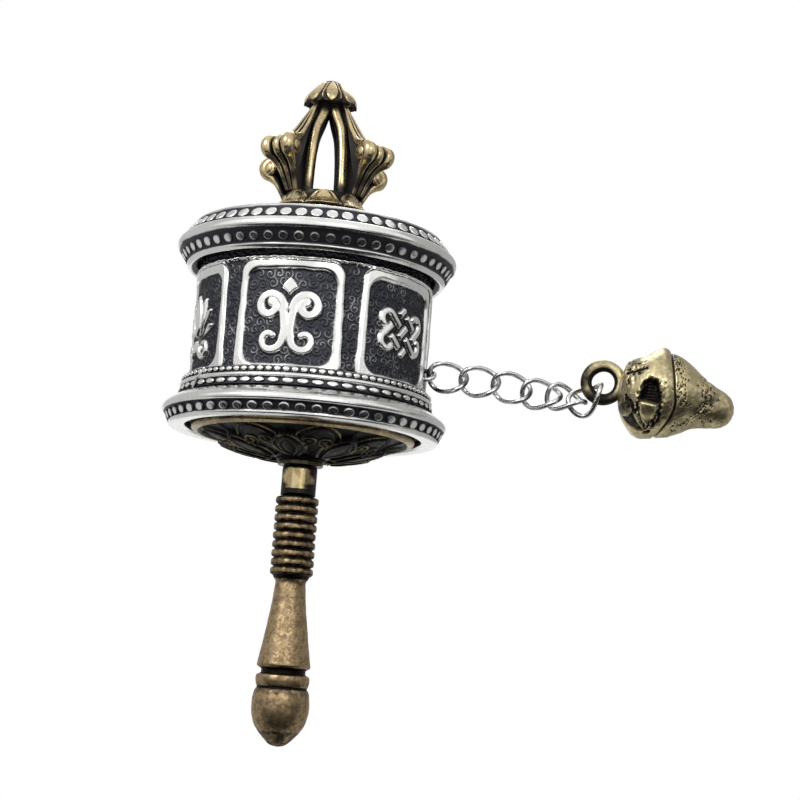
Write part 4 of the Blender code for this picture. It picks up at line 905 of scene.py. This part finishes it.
# curb loop: half length times cosine along, a quarter width times sine of the double angle across, half
# width times sine up; each link is turned by its dip and roll about its own pin, its ends are dark, and its
# underside is darkened as painted shade
t = circleSteps(chain["points"])
loop = np.stack([long / 2 * np.cos(t), wide / 4 * np.sin(2 * t), wide / 2 * np.sin(t)], axis=-1)
points, faces, oxide = tubeShape(loop, wire, loop, closed=True, sides=chain["sides"])
ends = ease(np.abs(points[:, 0]), 0.36 * long, 0.5 * long)
for i, (dip, roll, slack) in enumerate(zip(chain["dips"], chain["rolls"], chain["slacks"]), 1):
    turn = turnAbout("Y", dip) @ turnAbout("X", roll)
    middle = jointPlace(f"chain_swing_{i}") + turn[:, 0] * (step / 2 - slack)
    # how far each wire point lies above its centre line, in wire radii: the lower side gets painted shade
    lean = ((points.reshape(len(loop), -1, 3) - loop[:, None]) @ turn.T)[..., 2].ravel() / wire
    shape = placed((points, faces, np.maximum(0.7 * ends, 0.6 * ease(-lean, 0.1, 0.9))), turn, middle)
    putPiece(f"curb_link_{i}", [shape], chainSilver, f"link_{i}", [f"chain_link_{i}"])

# staple: two straight legs into the wall joined by a half circle
low, high = nodeBox("chain_anchor")
half = chain["stapleWidth"] / 2
swing = np.linspace(-np.pi / 2, np.pi / 2, 24)
out = np.concatenate([[low[0]], high[0] - wire - half + half * np.cos(swing), [low[0]]])
up = half * np.concatenate([[-1.0], np.sin(swing), [1.0]])
path = np.stack([out, np.zeros_like(out), up], axis=-1)
shape = tubeShape(path, wire, np.array([0.0, 1.0, 0.0]), sides=chain["sides"])
shape = placed(shape, turnAbout("X", chain["stapleLean"]), (0, 0, rimPlane + chain["height"]))
putPiece("chain_staple", [shape], chainSilver, "drum", ["chain_anchor"])

# shell weight: a conch with its ring, a broad lip beside a toothed mouth with a tongue, and a pitted spire;
# places are (distance from the ring's centre along the axis, height across it), seams are (degrees up round
# the axis, distance), cuts are (line, half width, depth), and castings, painted shades and painted highlights
# are areas (place, half length, half width)
shell = dict(
    ringRadius=1.785, ringTube=0.615, ringTurn=46, ringPoints=96, ringSides=24, dip=10, rows=236, cols=344,
    tip=13.76,
    top=((1.72, 0.9), (1.9, 2.1), (2.4, 2.9), (2.96, 3.24), (3.53, 3.5), (4.06, 3.93), (4.59, 4.37),
        (5.15, 4.7), (5.77, 4.75), (6.46, 4.5), (7.13, 4.31), (7.83, 4.03), (8.52, 3.74), (9.26, 3.28),
        (10.0, 2.82), (10.72, 2.42), (11.44, 2.08), (12.11, 1.85), (12.82, 1.49), (13.36, 0.98),
        (13.64, 0.45)),
    bottom=((1.72, 0.9), (1.95, 1.9), (2.44, 2.95), (3.37, 4.13), (4.13, 4.71), (4.8, 4.88), (5.4, 4.78),
        (6.0, 4.61), (6.58, 4.37), (7.15, 4.15), (7.75, 3.95), (8.31, 3.65), (8.89, 3.36), (9.42, 2.97),
        (9.97, 2.66), (10.57, 2.49), (11.17, 2.35), (11.77, 2.21), (12.37, 2.07), (12.95, 1.8),
        (13.36, 1.4), (13.64, 0.85)),
    seam=((-90, 6.35), (-60, 7.13), (-43, 7.58), (-28, 7.81), (-14, 7.79), (2, 7.47), (24, 7.06),
        (47, 6.58), (90, 6.05), (180, 5.3), (270, 6.35)),
    whorl=((-90, 7.75), (-56, 8.54), (-44, 9.6), (-25, 10.45), (0, 10.84), (25, 10.8), (90, 10.45),
        (180, 9.2), (270, 7.75)),
    mouth=((4.73, 0.84), (4.32, 0.34), (4.09, -0.98), (4.07, -2.01), (4.27, -2.68), (4.79, -3.55),
        (5.37, -4.24), (5.77, -3.69), (6.28, -2.73), (6.45, -1.61), (6.18, -0.66), (5.89, 0.11),
        (5.48, 0.77)),
    mouthDepth=1.1, tongueTop=-1.72, tongueRise=0.45, teeth=0.4, toothRow=4.95, lip=0.16, pits=330,
    pitDepth=0.09, grooveDepth=0.24, patchDepth=0.25, castingDepth=0.1,
    patch=((2.74, -3.24), (3.37, -3.28), (3.72, -2.85), (4.4, -3.69), (5.25, -4.35), (4.6, -4.42),
        (3.8, -4.2), (3.1, -3.7)),
    cuts=((((2.47, 1.11), (3.33, 1.47), (4.19, 1.84)), 0.14, 0.3),
        (((2.72, -1.36), (3.4, -2.05), (4.11, -2.89)), 0.17, 0.3),
        (((6.62, -2.35), (6.27, -3.55), (5.52, -4.39)), 0.1, 0.2)),
    castings=((2.5, 1.9, 1.1, 1.3), (3.6, 1.5, 0.8, 0.8), (2.6, -0.1, 0.6, 0.6), (3.3, -2.0, 0.7, 0.7),
        (6.2, -0.4, 0.5, 1.3)),
    paintedShadeSpots=((2.5, 2.7, 0.9, 0.9), (2.6, -2.5, 0.8, 0.8), (9.3, -1.3, 1.3, 0.8), (6.9, -2.4, 0.8, 1.1),
        (11.2, 0.2, 1.1, 0.9)),
    paintedShadeStrengths=(0.42, 0.4, 0.3, 0.34, 0.3), paintedHighlightSpots=((3.3, -0.35, 0.9, 0.9), (5.2, -2.0, 0.8, 0.5)))


# distance to a closed outline: the least one to its edges, negative where a ray crosses an odd number of them
def outlineGap(x, y, corners):
    least = np.full(x.shape, np.inf)
    inside = np.zeros(x.shape, dtype=bool)
    for (ax, ay), (bx, by) in zip(corners, np.roll(corners, -1, axis=0)):
        run, rise = bx - ax, by - ay
        t = np.clip(((x - ax) * run + (y - ay) * rise) / (run ** 2 + rise ** 2), 0.0, 1.0)
        least = np.minimum(least, np.hypot(x - ax - t * run, y - ay - t * rise))
        if ay != by:
            inside ^= ((ay > y) != (by > y)) & (x < ax + (y - ay) * run / rise)
    return np.where(inside, -least, least)


# circles along the axis between a top and a bottom line; seams, mouth, patch, cuts and pits press in, lip
# and whorls swell, and the oxide is the darkest of what they ask for; in the castings a ragged skin stays
# dark in its hollows; spots of painted shade darken the front, and the worn lip and spots of painted
# highlight keep less oxide
def shellBody():
    draw = np.random.default_rng(9)
    top, bottom, seam, whorl = (np.array(shell[key]) for key in ("top", "bottom", "seam", "whorl"))
    along = np.linspace(top[0, 0], top[-1, 0], shell["rows"])
    high, low = (curveThrough(*line.T, along) for line in (top, bottom))
    base, lift = 0.5 * (high + low)[:, None], 0.5 * (high - low)[:, None]
    s, a = np.meshgrid(along, circleSteps(shell["cols"]), indexing="ij")
    degrees = (np.degrees(a) + 90.0) % 360.0 - 90.0
    up = lift + base * np.sin(a)
    front = ease(np.cos(a), 0.0, 0.22)
    points = np.stack([s, base * np.cos(a), up], axis=-1)
    fromSeam, fromWhorl = (s - np.interp(degrees, *line.T) for line in (seam, whorl))
    ragged = ripple(points, 0.75, 44)

    def spot(place, height, length, width):
        return np.hypot((s - place) / length, (up - height) / width)

    gap = outlineGap(s, up, np.array(shell["mouth"])) + 0.10 * ragged
    above = ease(up - shell["tongueTop"], -0.12, 0.25)
    hollow = ease(-gap, 0.0, 0.4) * above * front
    tongue = ease(-gap, 0.02, 0.45) * (1.0 - above) * front
    teeth = 0.5 + 0.5 * np.cos(fullTurn * up / shell["teeth"])
    teeth = teeth * bell(s - shell["toothRow"], 0.4) * ease(up, -1.4, -1.0)
    press = -shell["mouthDepth"] * hollow + 0.3 * teeth * hollow
    press += shell["tongueRise"] * tongue * ease(up, -4.3, -2.0) - 0.25 * bell(gap, 0.14) * front
    press += shell["lip"] * bell(fromSeam + 0.75, 0.55) * front + 0.10 * bell(fromSeam - 1.4, 0.9)
    dark = [ease(-gap, -0.1, 0.06) * above * front * (1.0 - 0.5 * ease(teeth, 0.6, 0.95)),
            0.9 * bell(gap + 0.02, 0.16) * front, 0.62 * tongue * (1.0 - ease(up, -3.4, -2.4))]
    # the patch is a shallow recess whose dark is painted shade
    patch = outlineGap(s, up, np.array(shell["patch"]))
    press -= shell["patchDepth"] * ease(-patch, -0.05, 0.15) * front
    dark.append(0.85 * ease(-patch, -0.06, 0.08) * front)
    for line, halfWidth, depth in shell["cuts"]:
        near = stroke(s, up, line, halfWidth, 40) + 0.12 * ragged
        press -= depth * ease(-near, -0.08, 0.12) * front
        dark.append(0.95 * ease(-near, -0.09, 0.06) * front)
    for casting in shell["castings"]:
        area = bell(spot(*casting), 0.9) * front
        press -= shell["castingDepth"] * ragged * area
        dark.append(0.95 * ease(ragged + 1.4 * area, 1.35, 1.9) * (area > 0.15))
    third = shell["pits"] // 3  # behind the seam, along the whorl and anywhere on the spire
    turns = [draw.uniform(*span, third) for span in ((-20, 70), (-80, 100), (-90, 270))]
    places = [np.interp(turns[0], *seam.T) + draw.uniform(0.2, 1.2, third),
              np.interp(turns[1], *whorl.T) + draw.normal(0, 0.35, third), draw.uniform(6.5, 12.0, third)]
    sizes = draw.uniform(0.05, 0.11, 3 * third)
    pit = np.zeros_like(s)
    for place, turn, size in zip(np.concatenate(places), np.concatenate(turns), sizes):
        swing = (degrees - turn + 180.0) % 360.0 - 180.0
        pit = np.maximum(pit, bell(np.hypot(s - place, 0.7 * base * np.radians(swing)), size))
    groove = np.maximum(bell(fromSeam, 0.14), 0.45 * bell(fromWhorl, 0.12))
    rough = ripple(points, 1.6, 41) * 0.02 + ripple(points, 0.5, 42) * 0.006
    radius = base + press - shell["pitDepth"] * pit - shell["grooveDepth"] * groove
    radius = radius + rough * (1.0 - np.maximum(hollow, tongue))
    # spots of painted shade darken the front of the body
    shade = sum(mark * bell(spot(*area), 1.0) for area, mark in zip(shell["paintedShadeSpots"], shell["paintedShadeStrengths"]))
    # the raised lip, partly worn bright, and spots of painted highlight by the mouth keep less oxide
    lipWearAndPaintedHighlight = bell(fromSeam + 0.62, 0.5) * ease(up, -2.6, -0.4)
    lipWearAndPaintedHighlight = np.maximum.reduce([lipWearAndPaintedHighlight, *(bell(spot(*area), 1.0) for area in shell["paintedHighlightSpots"])]) * front
    dark += [0.85 * ease(pit, 0.25, 0.7), groove, 0.24 * (1.0 - lipWearAndPaintedHighlight) + shade * front]
    oxide = np.maximum.reduce(dark) + 0.05 * ripple(points, 0.9, 43)
    grid = np.stack([s, -radius * np.cos(a), lift + radius * np.sin(a)], axis=-1)
    return gridShape(grid, oxide, poles=((along[0] - 0.1, 0.0, lift[0, 0]), (shell["tip"], 0.0, lift[-1, 0])))


# ring: a slightly uneven tube round a circle, darkened as painted shade inside, below and towards the chain
lift, size = math.radians(shell["ringTurn"]), shell["ringRadius"]
centre = jointPlace("weight_swing") + size * np.array([math.cos(lift), 0.0, math.sin(lift)])
t = circleSteps(shell["ringPoints"])
loop = size * np.stack([np.cos(t), np.zeros_like(t), np.sin(t)], axis=-1)
tube = shell["ringTube"] * (1.0 + 0.03 * np.sin(3 * t + 1.0))
points, faces, oxide = tubeShape(loop, tube, loop, closed=True, sides=shell["ringSides"])
inside = 1.0 - ease(np.hypot(points[:, 0], points[:, 2]), size - 0.5, size - 0.1)
paintedRingShade = np.maximum(ease(-points[:, 2], 0.3, 1.8), ease(-points[:, 0], 0.9, 2.0))
ring = (points, faces, 0.28 + 0.7 * inside + 0.4 * paintedRingShade)
shapes = [placed(shape, turnAbout("Y", shell["dip"]), centre) for shape in (ring, shellBody())]
putPiece("conch_shell", shapes, shellBrass, "weight", ["conch_weight"])

# inner pieces keep their CAD form and take the finish of their material
inner = {
    "lower_washer": darkBrass, "top_washer": darkBrass, "lower_bush": darkBrass, "upper_bush": darkBrass,
    "scroll_core": darkBrass, "mantra_scroll": paper}
for node, finish in inner.items():
    frame["nodes"][node].data.materials.clear()
    frame["nodes"][node].data.materials.append(finish)
print("inner pieces dressed")

# camera: below the rim on the front right, rolled so that the top leans right
view = dict(
    azimuth=8.5, elevation=-9.52, roll=4.28, distance=188.7, aim=(10.12, 0.0, 2.51), focalPixels=1783.0,
    framePixels=800.0, sensor=36.0, clipStart=0.005)


# looks along -back at the aim; right and up are turned by the roll
def makeCamera():
    a, e, r = (math.radians(view[key]) for key in ("azimuth", "elevation", "roll"))
    back = np.array([math.sin(a) * math.cos(e), -math.cos(a) * math.cos(e), math.sin(e)])
    right = np.array([math.cos(a), math.sin(a), 0.0])
    up = np.cross(back, right)
    place = np.array(view["aim"]) + (0.0, 0.0, rimPlane) + view["distance"] * back
    camera = bpy.data.cameras.new("camera")
    camera.sensor_width = view["sensor"]
    camera.lens = view["focalPixels"] / view["framePixels"] * view["sensor"]
    camera.clip_start = view["clipStart"]
    holder = newObject("camera", camera)
    c, s = math.cos(r), math.sin(r)
    axes = np.stack([c * right + s * up, c * up - s * right, back], axis=-1)
    holder.matrix_world = Matrix.LocRotScale(place * mm, Matrix(axes.tolist()).to_quaternion(), None)
    bpy.context.scene.camera = holder


makeCamera()

# studio: white all round, a pale floor well below, soft lamps, and cards that only reflections see, which
# give the metal its dark edges; a card is (name, azimuth from and to, elevation from and to, brightness),
# degrees from the front, and a lamp is (x, y, z, size, power)
studio = dict(
    floorDrop=130.0, floorRadius=420.0, floorPoints=96, floorColour=(0.86, 0.86, 0.85), fill=0.55,
    cardRadius=126.0, cardColumns=25, cardRows=17,
    cards=(("low_card", -78, 78, -90, -16, 0.012), ("left_card", -150, -84, -35, 60, 0.6),
        ("right_card", 80, 158, -35, 60, 0.45), ("left_low_card", -84, -46, -35, 8, 0.5),
        ("right_low_card", 40, 80, -35, 8, 0.18)),
    lamps=((-150.0, -230.0, 200.0, 150.0, 0.4), (120.0, -260.0, 120.0, 120.0, 0.12),
        (0.0, 160.0, 220.0, 140.0, 0.15)))


# a studio object with one plain material; a card is hidden from camera, shadow and diffuse light
def stagePiece(name, points, faces, colour, glow, card):
    mesh = bpy.data.meshes.new(name)
    mesh.from_pydata((points * mm).tolist(), [], faces)
    material, tree, shader = newMaterial(name)
    feed(tree, shader, {"Base Color": (*colour, 1.0), "Roughness": 0.9, "Specular IOR Level": 0.0,
                        "Emission Color": (1.0, 1.0, 1.0, 1.0), "Emission Strength": glow})
    mesh.materials.append(material)
    piece = newObject(name, mesh)
    for sight in ("visible_camera", "visible_diffuse", "visible_shadow"):
        setattr(piece, sight, not card)


# a card is a patch of a sphere about the wheel: a grid of azimuths and elevations
def makeCard(name, left, right, low, high, glow):
    across, tall = np.linspace(left, right, studio["cardColumns"]), np.linspace(low, high, studio["cardRows"])
    turn, rise = np.radians(np.meshgrid(across, tall))
    turn = turn + math.radians(view["azimuth"])
    place = np.stack([np.sin(turn) * np.cos(rise), -np.cos(turn) * np.cos(rise), np.sin(rise)], axis=-1)
    place = place * studio["cardRadius"] + (0, 0, rimPlane)
    points, faces, _ = gridShape(place, np.zeros(turn.shape), wrapCols=False)
    stagePiece(name, points, faces[0].tolist(), (0.0, 0.0, 0.0), glow, True)


# the world is white for camera, glossy and transmission rays and dimmer as fill light
def makeWorld():
    world = bpy.data.worlds.new("studio")
    bpy.context.scene.world = world
    world.use_nodes = True
    tree = world.node_tree
    path = addNode(tree, "LightPath", {})
    seen = path["Is Camera Ray"]
    for ray in ("Is Glossy Ray", "Is Transmission Ray"):
        seen = addNode(tree, "Math", {0: seen, 1: path[ray]}, operation="MAXIMUM")["Value"]
    level = addNode(tree, "MapRange", {"To Min": studio["fill"], "Value": seen})["Result"]
    feed(tree, tree.nodes["Background"], {"Color": (1.0, 1.0, 1.0, 1.0), "Strength": level})


bpy.context.scene.view_settings.view_transform = "Standard"
makeWorld()
t = circleSteps(studio["floorPoints"])
floor = aroundAxis(studio["floorRadius"], t, np.full_like(t, cadLow[2] / mm - studio["floorDrop"]))
stagePiece("floor", floor, [list(range(len(t)))], studio["floorColour"], 0.0, False)
for card in studio["cards"]:
    makeCard(*card)
for i, (x, y, z, size, power) in enumerate(studio["lamps"], 1):
    light = bpy.data.lights.new(f"softbox_{i}", "AREA")
    light.shape = "DISK"
    light.size = size * mm
    light.energy = power
    holder = newObject(f"softbox_{i}", light)
    holder.location = Vector((x, y, z)) * mm
    holder.rotation_mode = "QUATERNION"
    # a lamp shines along its -Z
    holder.rotation_quaternion = Vector((x, y, z - rimPlane)).to_track_quat("Z", "Y")
print("studio ready")
